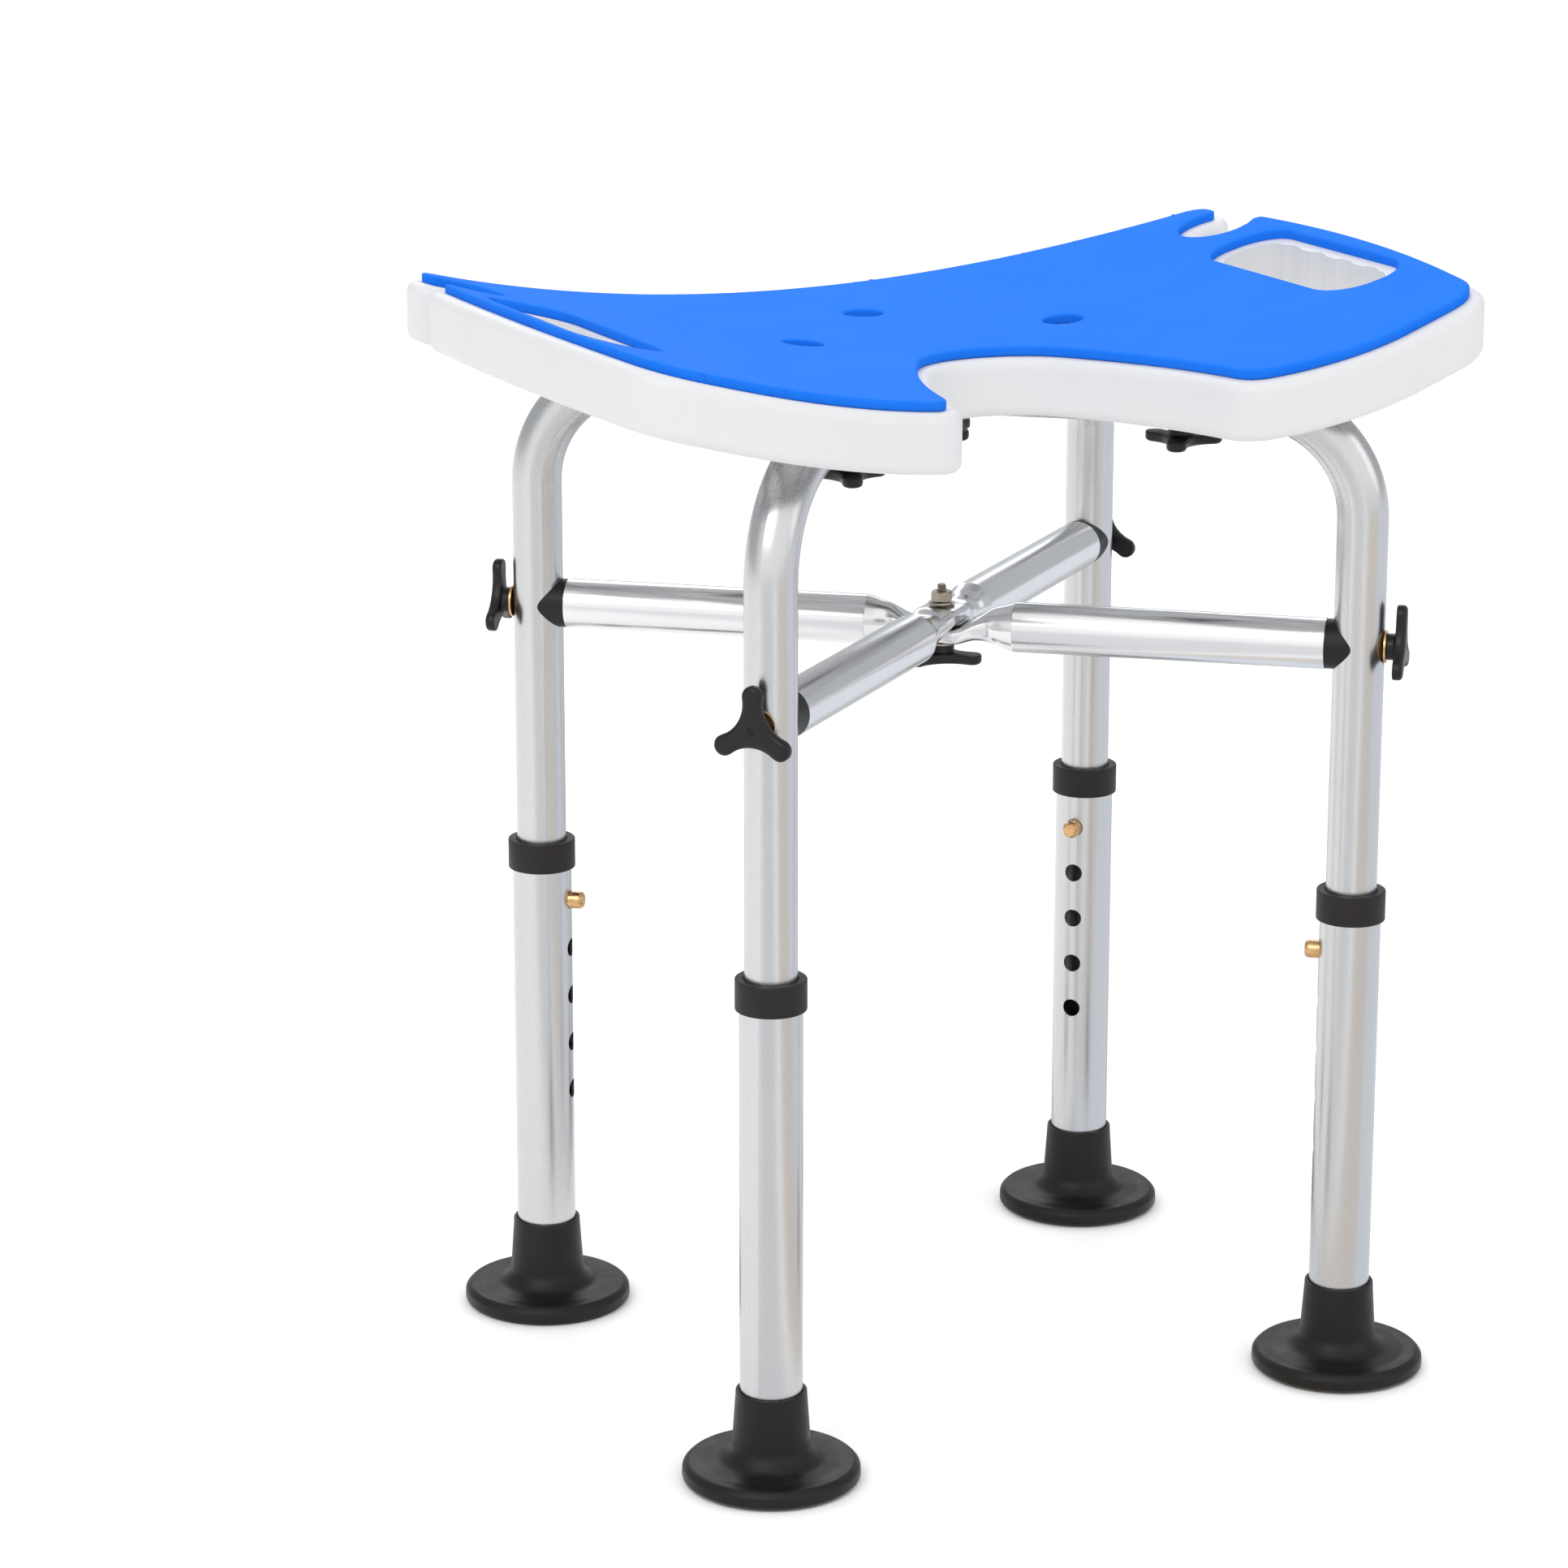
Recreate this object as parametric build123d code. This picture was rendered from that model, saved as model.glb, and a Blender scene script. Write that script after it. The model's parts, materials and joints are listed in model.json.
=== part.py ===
from build123d import *
import os
from math import atan2, cos, degrees, hypot, pi, radians, sin, tan

# A height-adjustable shower stool. Millimetres, +Z up, floor at Z = 0.
# The origin is on the floor below the middle of the seat. +X is the sitter's right end
# of the seat as seen from the front, and +Y points to the back of the seat.

# ---- driving dimensions ----
LEG_SPACING_X = 319.0
LEG_SPACING_Y = 262.0
LEG_NAMES = {
    "front_left": (-1, -1),
    "front_right": (1, -1),
    "back_right": (1, 1),
    "back_left": (-1, 1),
}

UPPER_TUBE_R = 12.5
LOWER_TUBE_R = 15.0
TUBE_WALL = 1.3
UPPER_TUBE_FOOT_Z = 199.0
BEND_R = 55.5
SEAT_TUBE_AXIS_Z = 491.5
BRACE_AXIS_Z = 373.5
SEAT_FLATS_MEET_Z = 485.6
BRACE_FLATS_MEET_Z = 373.5
BRACE_END_GAP = 16.0
SWAGE_START = 36.0
SWAGE_END = 15.0
FLAT_WIDTH = 18.0
FLAT_THICKNESS = 6.6
# The brace's pressed middle: distance out from the bolt, half width, half height, and the
# offset of the section's centre towards the brace's own side of the joint.
BRACE_NECK = (
    (12.0, 11.5, 4.5, 4.5),
    (17.5, 9.3, 5.6, 1.6),
    (25.0, 8.6, 8.6, 0.0),
    (32.0, 10.8, 10.8, 0.0),
    (37.0, 12.5, 12.5, 0.0),
)

LOWER_TUBE_FOOT_Z = 12.0
LOWER_TUBE_TOP_Z = 247.0
HOLE_PITCH = 25.4
HOLE_COUNT = 5
TOP_HOLE_Z = 217.8
HOLE_R = 4.75

COLLAR_R = 17.0
COLLAR_Z = (235.0, 250.0)
COLLAR_SLEEVE_Z = 226.0
SLIDE_GAP = 0.05

FOOT_TOP_Z = 45.0
FOOT_FLANGE_R = 42.8
FOOT_SLEEVE_R = 17.0

BUTTON_R = 4.5
BUTTON_TIP = 22.0
BUTTON_FLANGE = (7.9, 9.4)
BUTTON_FLANGE_R = 5.6

SCREW_R = 2.4
SCREW_CLEARANCE = 0.08
NUT_ACROSS = 9.5
NUT_HEIGHT = 5.0
NUT_TURN = 21.6
KNOB_TIP_R = 21.0
KNOB_LOBE_R = 5.0
KNOB_WAIST_R = 8.0
KNOB_THICKNESS = 5.5
KNOB_HUB_R = 6.5
KNOB_HUB_LENGTH = 4.0
WASHER_R = 8.0
WASHER_THICKNESS = 1.0
TURN_GAP = 0.1
LEG_KNOB_SCREW = 42.0
SEAT_KNOB_SCREW = 32.0
CROSSING_KNOB_SCREW = 26.5
BRACE_KNOB_SCREW = 30.0
BRACE_KNOB_TURN = 42.0
SPRING_WASHER_HEIGHT = 2.4
SPRING_WASHER_R = 6.6
SPRING_GAP_TURN = -60.0

PAD_THICKNESS = 5.0
PAD_TOP_Z = 515.1
SADDLE_R = 787.0
PAD_OUTLINE_MARGIN = 7.0
GLUE_GAP = 0.05
SHELL_HEIGHT = 28.5
SHELL_WALL = 3.0
SHELL_TOP_WALL = 3.2
SHELL_TOP_FILLET = 5.0
SEAT_SCREW_ALONG = 117.4
DRAIN_HOLES = ((-72.0, 9.5), (72.0, 9.5), (0.0, 85.0))
DRAIN_R = 10.0
PAD_EDGE_FILLET = 1.0
HAND_HOLE = ((178.0, -73.0), (223.0, 58.0))
HAND_HOLE_CORNER = 20.0
HOLE_STEP = 6.0
GRIP_R = 18.0
GRIP_DEPTH = 1.8
GRIP_PITCH = 24.0
RIB_THICKNESS = 2.4
RIB_DROP = 22.0
RIBS_ALONG = (-55.0, 35.0, 118.0)
RIBS_ACROSS = (45.0, 118.0, 165.0)
# The right half of the pad's outline: cut-out, lip, front edge, corner, end, holder notch,
# back corner and back edge. Tangent arcs join the points.
HALF_OUTLINE = (
    (0, -26),
    (39, -47.6),
    (77, -144),
    (90, -156.3),
    (170, -150),
    (203, -140.5),
    (221.6, -120.1),
    (230, 77.1),
    (223.3, 80.1),
    (219.1, 112.8),
    (223.5, 115.5),
    (223.5, 120.7),
    (214.5, 132.2),
    (150, 149.8),
)

# ---- derived ----
LEG_RADIUS = hypot(LEG_SPACING_X, LEG_SPACING_Y) / 2
HOLE_HEIGHTS = [TOP_HOLE_Z - i * HOLE_PITCH for i in range(HOLE_COUNT)]
TUBE_BORE = UPPER_TUBE_R - TUBE_WALL
LOWER_BORE = LOWER_TUBE_R - TUBE_WALL
KNOB_SEAT = UPPER_TUBE_R + WASHER_THICKNESS + TURN_GAP
BRACE_FLAT_LENGTH = BRACE_NECK[0][0]
BRACE_FLAT_THICKNESS = 2 * BRACE_NECK[0][2]
BRACE_ROUND_START = BRACE_NECK[-1][0]
SHELL_TOP_Z = PAD_TOP_Z - PAD_THICKNESS
SADDLE_CENTRE_Z = PAD_TOP_Z + SADDLE_R


def leg_angle(name):
    side, depth = LEG_NAMES[name]
    return degrees(atan2(depth * LEG_SPACING_Y, side * LEG_SPACING_X))


def on_diagonal(shape, name):
    """Turn a piece built along +X, from the stool's middle to a leg, to that leg's diagonal."""
    return Rot(0, 0, leg_angle(name)) * shape


def rod(radius, start, end, direction="z", at=(0, 0, 0)):
    """A cylinder from start to end along an axis through the point at."""
    cylinder = Cylinder(radius, end - start, align=(Align.CENTER, Align.CENTER, Align.MIN))
    turned = {"z": Rot(0, 0, 0), "x": Rot(0, 90, 0)}[direction]
    along = {"z": Pos(0, 0, start), "x": Pos(start, 0, 0)}[direction]
    return Pos(*at) * along * turned * cylinder


# ---- tube frame ----
def tube_section(x, z, half_width, half_height, flat=False):
    """A closed section in the plane across X: a top, a bottom and two round sides.

    The top and the bottom are flats or shallow arcs.
    """
    corner = half_width - half_height if flat else half_width * sin(radians(40))
    rise = half_height if flat else half_height * cos(radians(40))
    with BuildSketch(Plane(origin=(x, 0, z), x_dir=(0, 1, 0), z_dir=(1, 0, 0))) as section:
        with BuildLine():
            if flat:
                Line((-corner, rise), (corner, rise))
                Line((corner, -rise), (-corner, -rise))
            else:
                ThreePointArc((-corner, rise), (0, half_height), (corner, rise))
                ThreePointArc((corner, -rise), (0, -half_height), (-corner, -rise))
            ThreePointArc((corner, rise), (half_width, 0), (corner, -rise))
            ThreePointArc((-corner, -rise), (-half_width, 0), (-corner, rise))
        make_face()
    return section.sketch.face()


def flattened_middle(axis_z, lift, inset):
    """One half of a seat tube's squashed middle, from the diagonal's centre to the round tube."""
    size = FLAT_WIDTH / 2 - inset, FLAT_THICKNESS / 2 - inset
    round_r = UPPER_TUBE_R - inset
    flat = tube_section(SWAGE_END, axis_z + lift, *size, flat=True)
    round_end = tube_section(SWAGE_START, axis_z, round_r, round_r)
    strap = extrude(tube_section(0, axis_z + lift, *size, flat=True), SWAGE_END)
    return loft([flat, round_end], ruled=True) + strap


def necked_middle(side, inset):
    """One half of a brace's pressed middle; side is 1 for the upper brace, -1 for the lower."""
    sections = []
    for out, half_width, half_height, offset in BRACE_NECK:
        z = BRACE_FLATS_MEET_Z + side * offset
        size = half_width - inset, half_height - inset
        sections.append(tube_section(out, z, *size, flat=out == BRACE_FLAT_LENGTH))
    strap = extrude(sections[0], BRACE_FLAT_LENGTH, dir=(-1, 0, 0))
    return loft(sections, ruled=True) + strap


def straight_tube(start, end, radius, axis_z):
    return rod(radius, start, end, "x", (0, 0, axis_z))


def brace_half(side, inset):
    end = LEG_RADIUS - BRACE_END_GAP
    middle = necked_middle(side, inset)
    return middle + straight_tube(BRACE_ROUND_START, end, UPPER_TUBE_R - inset, BRACE_AXIS_Z)


def bent_leg(inset, clearance=0.0):
    """The round part of one arm: along under the seat, round the bend and down the leg."""
    bend_start = LEG_RADIUS - BEND_R
    radius = UPPER_TUBE_R - inset + clearance
    with BuildLine(Plane.XZ) as path:
        Line((SWAGE_START, SEAT_TUBE_AXIS_Z), (bend_start, SEAT_TUBE_AXIS_Z))
        TangentArc(
            (bend_start, SEAT_TUBE_AXIS_Z),
            (LEG_RADIUS, SEAT_TUBE_AXIS_Z - BEND_R),
            tangent=(1, 0),
        )
        Line((LEG_RADIUS, SEAT_TUBE_AXIS_Z - BEND_R), (LEG_RADIUS, UPPER_TUBE_FOOT_Z))
    ring = Plane(origin=(SWAGE_START, 0, SEAT_TUBE_AXIS_Z), z_dir=(1, 0, 0)) * Circle(radius)
    return sweep(ring, path=path.wire())


def both_arms(half):
    return half + Rot(0, 0, 180) * half


def hollow(solid_at):
    """The tube's outer form less its bore; solid_at(inset) gives the form that far inside."""
    return both_arms(solid_at(0.0)) - both_arms(solid_at(TUBE_WALL))


def screw_hole(start, end, direction="z", at=(0, 0, 0)):
    return rod(SCREW_R + SCREW_CLEARANCE, start, end, direction, at)


def seat_tube(lift):
    """An inverted U: two legs, two bends and a middle squashed flat where the pair crosses."""

    def arm(inset):
        return bent_leg(inset) + flattened_middle(SEAT_TUBE_AXIS_Z, lift, inset)

    tube = hollow(arm)
    open_end = rod(TUBE_BORE, UPPER_TUBE_FOOT_Z - 1, UPPER_TUBE_FOOT_Z + 1, at=(LEG_RADIUS, 0, 0))
    tube -= both_arms(open_end)
    reach = SEAT_TUBE_AXIS_Z - 2 * UPPER_TUBE_R, SEAT_TUBE_AXIS_Z + 2 * UPPER_TUBE_R
    tube -= screw_hole(*reach)
    tube -= both_arms(screw_hole(*reach, at=(SEAT_SCREW_ALONG, 0, 0)))
    leg_sides = LEG_RADIUS - 20, LEG_RADIUS + 20
    tube -= both_arms(screw_hole(*leg_sides, direction="x", at=(0, 0, BRACE_AXIS_Z)))
    button_hole = rod(BUTTON_R + 0.15, LEG_RADIUS - 20, LEG_RADIUS, "x", (0, 0, TOP_HOLE_Z))
    return tube - both_arms(button_hole)


def brace_tube(side):
    """A cross brace: round at both ends, pressed to a flat neck in the middle for the bolt."""
    tube = hollow(lambda inset: brace_half(side, inset))
    end = LEG_RADIUS - BRACE_END_GAP
    tube -= both_arms(straight_tube(end - 2, end + 2, TUBE_BORE, BRACE_AXIS_Z))
    return tube - screw_hole(BRACE_AXIS_Z - UPPER_TUBE_R, BRACE_AXIS_Z + UPPER_TUBE_R)


def brace_plug():
    """The moulded end plug: a spigot in the brace, and a head cut to hug the leg."""
    tube_end = LEG_RADIUS - BRACE_END_GAP
    centre = (0, 0, BRACE_AXIS_Z)
    head = rod(UPPER_TUBE_R - 0.3, tube_end, LEG_RADIUS, "x", centre)
    head -= rod(UPPER_TUBE_R, 0, 2 * BRACE_AXIS_Z, at=(LEG_RADIUS, 0, 0))
    spigot = rod(TUBE_BORE - 0.05, tube_end - 18, tube_end, "x", centre)
    nut_pocket = Pos(tube_end - 8, 0, BRACE_AXIS_Z) * hex_bar(NUT_ACROSS + 0.1, NUT_HEIGHT + 0.1)
    bore = screw_hole(tube_end - 18, LEG_RADIUS, "x", centre)
    return head + spigot - nut_pocket - bore


def hex_bar(across_flats, length):
    """A hexagonal bar along X, centred on the origin."""
    outline = Plane.YZ * RegularPolygon(across_flats / 2, 6, major_radius=False)
    return extrude(outline, length / 2, both=True)


def brace_plug_nut():
    at = (LEG_RADIUS - BRACE_END_GAP - 8, 0, BRACE_AXIS_Z)
    return Pos(*at) * hex_bar(NUT_ACROSS, NUT_HEIGHT) - screw_hole(at[0] - 5, at[0] + 5, "x", (0, 0, at[2]))


# ---- telescoping legs ----
def leg_tube():
    at = (LEG_RADIUS, 0, 0)
    tube = rod(LOWER_TUBE_R, LOWER_TUBE_FOOT_Z, LOWER_TUBE_TOP_Z, at=at)
    tube -= rod(LOWER_BORE, LOWER_TUBE_FOOT_Z, LOWER_TUBE_TOP_Z, at=at)
    for height in HOLE_HEIGHTS:
        tube -= rod(HOLE_R, LEG_RADIUS - 20, LEG_RADIUS, "x", (0, 0, height))
    return tube


def leg_collar():
    """The guide bush that caps the lower tube and runs on the upper one."""
    at = (LEG_RADIUS, 0, 0)
    low, high = COLLAR_Z
    cap = rod(COLLAR_R, low, high, at=at) - rod(LOWER_TUBE_R, low, LOWER_TUBE_TOP_Z, at=at)
    cap = chamfer(cap.edges().filter_by(GeomType.CIRCLE).group_by(Axis.Z)[-1], 0.5)
    sleeve = rod(LOWER_BORE - 0.05, COLLAR_SLEEVE_Z, high - 1, at=at)
    return cap + sleeve - rod(UPPER_TUBE_R + SLIDE_GAP, COLLAR_SLEEVE_Z, high, at=at)


def foot():
    """A flared rubber tip: a sleeve, a dished flange with a raised rim, a hollow sole."""
    sole_r = FOOT_FLANGE_R - 1.6
    with BuildSketch(Plane.XZ) as profile:
        with BuildLine():
            Polyline((0, 2.2), (24, 2.2), (31, 0), (sole_r, 0))
            ThreePointArc((sole_r, 0), (FOOT_FLANGE_R, 3.2), (FOOT_FLANGE_R - 1.4, 6.4))
            ThreePointArc(
                (FOOT_FLANGE_R - 1.4, 6.4), (FOOT_FLANGE_R - 4.8, 8.6), (FOOT_FLANGE_R - 9.3, 9.0)
            )
            ThreePointArc((FOOT_FLANGE_R - 9.3, 9.0), (23.0, 12.2), (18.6, 21.5))
            Line((18.6, 21.5), (FOOT_SLEEVE_R, FOOT_TOP_Z - 0.8))
            Line((FOOT_SLEEVE_R, FOOT_TOP_Z - 0.8), (FOOT_SLEEVE_R - 0.8, FOOT_TOP_Z))
            Line((FOOT_SLEEVE_R - 0.8, FOOT_TOP_Z), (LOWER_TUBE_R, FOOT_TOP_Z))
            Line((LOWER_TUBE_R, FOOT_TOP_Z), (LOWER_TUBE_R, LOWER_TUBE_FOOT_Z))
            Line((LOWER_TUBE_R, LOWER_TUBE_FOOT_Z), (0, LOWER_TUBE_FOOT_Z))
            Line((0, LOWER_TUBE_FOOT_Z), (0, 2.2))
        make_face()
    return Pos(LEG_RADIUS, 0, 0) * revolve(profile.sketch, Axis.Z)


def snap_button():
    """The brass button that locks the two tubes; it points in towards the stool's middle."""
    tip = LEG_RADIUS - BUTTON_TIP
    back, front = (LEG_RADIUS - depth for depth in BUTTON_FLANGE)
    pin = chamfer(
        rod(BUTTON_R, tip, front, "x", (0, 0, TOP_HOLE_Z)).edges().group_by(Axis.X)[0], 1.0
    )
    return pin + rod(BUTTON_FLANGE_R, front, back, "x", (0, 0, TOP_HOLE_Z))


def snap_spring():
    """The bent spring strip in the upper tube that pushes the button out."""
    button_side = LEG_RADIUS - BUTTON_FLANGE[0] + 0.9
    wall_side = LEG_RADIUS + TUBE_BORE - 1.6
    foot_z = TOP_HOLE_Z - 6
    bend_z = TOP_HOLE_Z + 34
    with BuildLine(Plane.XZ) as path:
        FilletPolyline(
            (button_side, foot_z),
            (button_side, TOP_HOLE_Z + 7),
            (LEG_RADIUS + 2, bend_z),
            (wall_side, foot_z),
            radius=2.5,
        )
    strip = Plane(origin=(button_side, 0, foot_z), z_dir=(0, 0, 1)) * Rectangle(0.8, 7.0)
    return sweep(strip, path=path.wire(), transition=Transition.RIGHT)


# ---- knobs and fasteners ----
def lobe_outline():
    """Three round lobes joined by three hollow sides, every arc tangent to the next."""
    lobe_centre = KNOB_TIP_R - KNOB_LOBE_R
    difference = KNOB_WAIST_R - KNOB_LOBE_R
    side_centre = (lobe_centre**2 - difference**2) / (lobe_centre - 2 * difference)
    side_r = side_centre - KNOB_WAIST_R

    def polar(radius, angle):
        return radius * cos(radians(angle)), radius * sin(radians(angle))

    def touch(lobe_angle, side_angle):
        lobe_x, lobe_y = polar(lobe_centre, lobe_angle)
        side_x, side_y = polar(side_centre, side_angle)
        share = KNOB_LOBE_R / (KNOB_LOBE_R + side_r)
        return lobe_x + (side_x - lobe_x) * share, lobe_y + (side_y - lobe_y) * share

    with BuildSketch() as outline:
        with BuildLine():
            for lobe in (90, 210, 330):
                before, after = touch(lobe, lobe - 60), touch(lobe, lobe + 60)
                ThreePointArc(before, polar(KNOB_TIP_R, lobe), after)
                ThreePointArc(after, polar(KNOB_WAIST_R, lobe + 60), touch(lobe + 120, lobe + 60))
        make_face()
    return outline.sketch


def knob_head():
    """A three-lobed knob along +Z: its hub starts at Z = 0 and its face is at the top."""
    grip = Pos(0, 0, KNOB_HUB_LENGTH) * extrude(lobe_outline(), KNOB_THICKNESS)
    grip = fillet(grip.edges().filter_by(Plane.XY), 1.1)
    hub = rod(KNOB_HUB_R, 0, KNOB_HUB_LENGTH + 1)
    socket = rod(SCREW_R, 0, KNOB_HUB_LENGTH + KNOB_THICKNESS - 1.5)
    return grip + hub - socket


def knob_screw(length):
    """The steel screw moulded into the knob; it runs down from the hub by the given length."""
    top = KNOB_HUB_LENGTH + KNOB_THICKNESS - 1.5
    screw = rod(SCREW_R, -length, top)
    return chamfer(screw.edges().group_by(Axis.Z)[0], 0.6)


def washer(radius=WASHER_R, thickness=WASHER_THICKNESS, bore=SCREW_R + 0.3):
    return rod(radius, 0, thickness) - rod(bore, 0, thickness)


def leg_knob_place():
    """From the knob's own frame to the outer side of a leg, at the brace's height."""
    return Pos(LEG_RADIUS + KNOB_SEAT, 0, BRACE_AXIS_Z) * Plane.YZ.location


def hanging_place(along, under_z):
    """From the knob's own frame to below a tube, with its face down."""
    return Pos(along, 0, under_z) * Rot(180, 0, 0)


# ---- seat ----
def half_outline(margin):
    """The right half of the seat's outline, grown by margin: a chain of tangent arcs.

    It sets off along +X from the middle of the front cut-out, with the seat on its left.
    """
    heading = 0.0
    point = HALF_OUTLINE[0]
    for target in HALF_OUTLINE[1:]:
        heading = arc_to(point, heading, target, margin)
        point = target
    rise = point[0] * tan((pi - heading) / 2)
    arc_to(point, heading, (0, point[1] + rise), margin)


def arc_to(start, heading, end, margin):
    """Draw one tangent arc, shifted outwards by margin, and return the heading at its end."""
    chord = atan2(end[1] - start[1], end[0] - start[0])
    turn = (chord - heading + pi) % (2 * pi) - pi
    end_heading = heading + 2 * turn

    def shifted(point, angle):
        return point[0] + margin * sin(angle), point[1] - margin * cos(angle)

    tangent = (cos(heading), sin(heading))
    TangentArc(shifted(start, heading), shifted(end, end_heading), tangent=tangent)
    return end_heading


def plan_region(margin):
    """The seat's plan, grown by margin, with nothing cut out of it yet."""
    with BuildSketch() as region:
        with BuildLine() as half:
            half_outline(margin)
            mirror(half.line, about=Plane.YZ)
        make_face()
    return region.sketch


def openings(hand_hole_shrink, drain_r):
    """The plan of both hand holes and the three drain holes."""
    low, high = HAND_HOLE
    width, length = high[0] - low[0] - 2 * hand_hole_shrink, high[1] - low[1] - 2 * hand_hole_shrink
    hole = RectangleRounded(width, length, HAND_HOLE_CORNER - hand_hole_shrink)
    cut = None
    for side in (-1, 1):
        placed = Pos(side * (low[0] + high[0]) / 2, (low[1] + high[1]) / 2) * hole
        cut = placed if cut is None else cut + placed
    for x, y in DRAIN_HOLES:
        cut += Pos(x, y) * Circle(drain_r)
    return cut


def finger_grips():
    """Four shallow scallops down the outer wall of each hand hole."""
    wall_x = HAND_HOLE[1][0] - HOLE_STEP
    middle_y = (HAND_HOLE[0][1] + HAND_HOLE[1][1]) / 2
    grips = None
    for side in (-1, 1):
        for i in range(4):
            at = (side * (wall_x + GRIP_DEPTH - GRIP_R), middle_y + (i - 1.5) * GRIP_PITCH, 0)
            grip = rod(GRIP_R, PAD_TOP_Z - 40, PAD_TOP_Z + 60, at=at)
            grips = grip if grips is None else grips + grip
    return grips


def saddle_band(top_drop, bottom_drop):
    """The space between two drops below the pad's curved top, wide enough for the whole seat."""
    reach = 300.0
    deep = 400.0
    above = Pos(0, 0, SADDLE_CENTRE_Z) * Rot(90, 0, 0) * Cylinder(SADDLE_R + bottom_drop, deep * 2)
    below = Pos(0, 0, SADDLE_CENTRE_Z) * Rot(90, 0, 0) * Cylinder(SADDLE_R + top_drop, deep * 2)
    block = Pos(0, 0, PAD_TOP_Z) * Box(2 * reach, deep, 150)
    return (block & above) - below


def curved_slab(plan, top_drop, bottom_drop):
    prism = Pos(0, 0, PAD_TOP_Z - 80) * extrude(plan, 180)
    return prism & saddle_band(top_drop, bottom_drop)


def seat_pad():
    pad = curved_slab(plan_region(0) - openings(0, DRAIN_R), 0, PAD_THICKNESS)
    return fillet(top_rim(pad), PAD_EDGE_FILLET)


def top_rim(solid):
    """The edges round the saddle-shaped top face."""
    return solid.faces().sort_by(Axis.Z)[-1].edges()


def seat_ribs():
    """Stiffening ribs under the seat: three along it and six across it."""
    ribs = None
    for y in RIBS_ALONG:
        rib = Pos(0, y, PAD_TOP_Z) * Box(480, RIB_THICKNESS, 120)
        ribs = rib if ribs is None else ribs + rib
    for x in RIBS_ACROSS:
        for side in (-1, 1):
            ribs += Pos(side * x, 0, PAD_TOP_Z) * Box(RIB_THICKNESS, 360, 120)
    return ribs & curved_slab(plan_region(PAD_OUTLINE_MARGIN), PAD_THICKNESS, RIB_DROP)


def tube_nest():
    """The room that both seat tubes need in the ribs."""
    nest = None
    for name in ("front_left", "front_right", "back_right", "back_left"):
        arm = bent_leg(0.0, 0.8) + rod(UPPER_TUBE_R + 0.8, 0, SWAGE_START, "x", (0, 0, SEAT_TUBE_AXIS_Z))
        arm = on_diagonal(arm, name)
        nest = arm if nest is None else nest + arm
    return nest


def seat_boss():
    """A boss above one tube arm that holds a threaded insert for the knob's screw."""
    tube_top = SEAT_TUBE_AXIS_Z + UPPER_TUBE_R
    boss = rod(9.0, tube_top, PAD_TOP_Z, at=(SEAT_SCREW_ALONG, 0, 0))
    return boss - rod(4.5, tube_top, tube_top + 7, at=(SEAT_SCREW_ALONG, 0, 0))


def seat_shell():
    """The moulded seat: a curved top with a skirt, walled hand holes, ribs and four bosses."""
    plan = plan_region(PAD_OUTLINE_MARGIN) - openings(HOLE_STEP, DRAIN_R - 1)
    outer = curved_slab(plan, PAD_THICKNESS + GLUE_GAP, PAD_THICKNESS + SHELL_HEIGHT)
    outer = fillet(top_rim(outer), SHELL_TOP_FILLET) - finger_grips()
    hole_walls = openings(HOLE_STEP - SHELL_WALL - GRIP_DEPTH, DRAIN_R + SHELL_WALL - 1)
    cavity_plan = plan_region(PAD_OUTLINE_MARGIN - SHELL_WALL) - hole_walls
    cavity = curved_slab(cavity_plan, PAD_THICKNESS + SHELL_TOP_WALL, 60)
    cavity -= seat_ribs() - tube_nest()
    for name in LEG_NAMES:
        cavity -= on_diagonal(seat_boss(), name)
    return outer - cavity


def seat_insert():
    """The threaded brass insert in a seat boss."""
    low = SEAT_TUBE_AXIS_Z + UPPER_TUBE_R
    insert = rod(4.5, low, low + 7, at=(SEAT_SCREW_ALONG, 0, 0))
    return insert - screw_hole(low, low + 7, at=(SEAT_SCREW_ALONG, 0, 0))


# ---- the centre bolts ----
def centre_nut(low):
    nut = Pos(0, 0, low + NUT_HEIGHT / 2) * Rot(0, 0, NUT_TURN) * Rot(0, 90, 0)
    return nut * hex_bar(NUT_ACROSS, NUT_HEIGHT) - screw_hole(low, low + NUT_HEIGHT)


def spring_washer(low):
    """A split spring washer: a ring with a narrow slanted cut."""
    high = low + SPRING_WASHER_HEIGHT
    ring = rod(SPRING_WASHER_R, low, high) - rod(SCREW_R + 0.2, low, high)
    gap = Pos(SPRING_WASHER_R, 0, (low + high) / 2) * Rot(25, 0, 0) * Box(SPRING_WASHER_R, 0.8, 6)
    return Rot(0, 0, SPRING_GAP_TURN) * (ring - gap)


def save(name, shape):
    export_step(shape, "parts/" + name + ".step")


def group(pieces):
    """Several separate solids that share one file."""
    return Compound(children=[solid for piece in pieces for solid in piece.solids()])


def on_each_diagonal(piece):
    return group([on_diagonal(piece, name) for name in LEG_NAMES])


def save_knob(name, place, screw_length):
    save("knob_" + name, place * knob_head())
    save("knob_screw_" + name, place * knob_screw(screw_length))


def save_leg(name):
    """One telescoping leg: tube, bush, foot, and the button and spring that lock it."""
    pieces = {
        "leg_tube_": leg_tube(),
        "leg_collar_": leg_collar(),
        "foot_": foot(),
        "snap_button_": snap_button(),
        "snap_spring_": snap_spring(),
        "brace_plug_": brace_plug(),
    }
    for prefix, piece in pieces.items():
        save(prefix + name, on_diagonal(piece, name))


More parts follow.
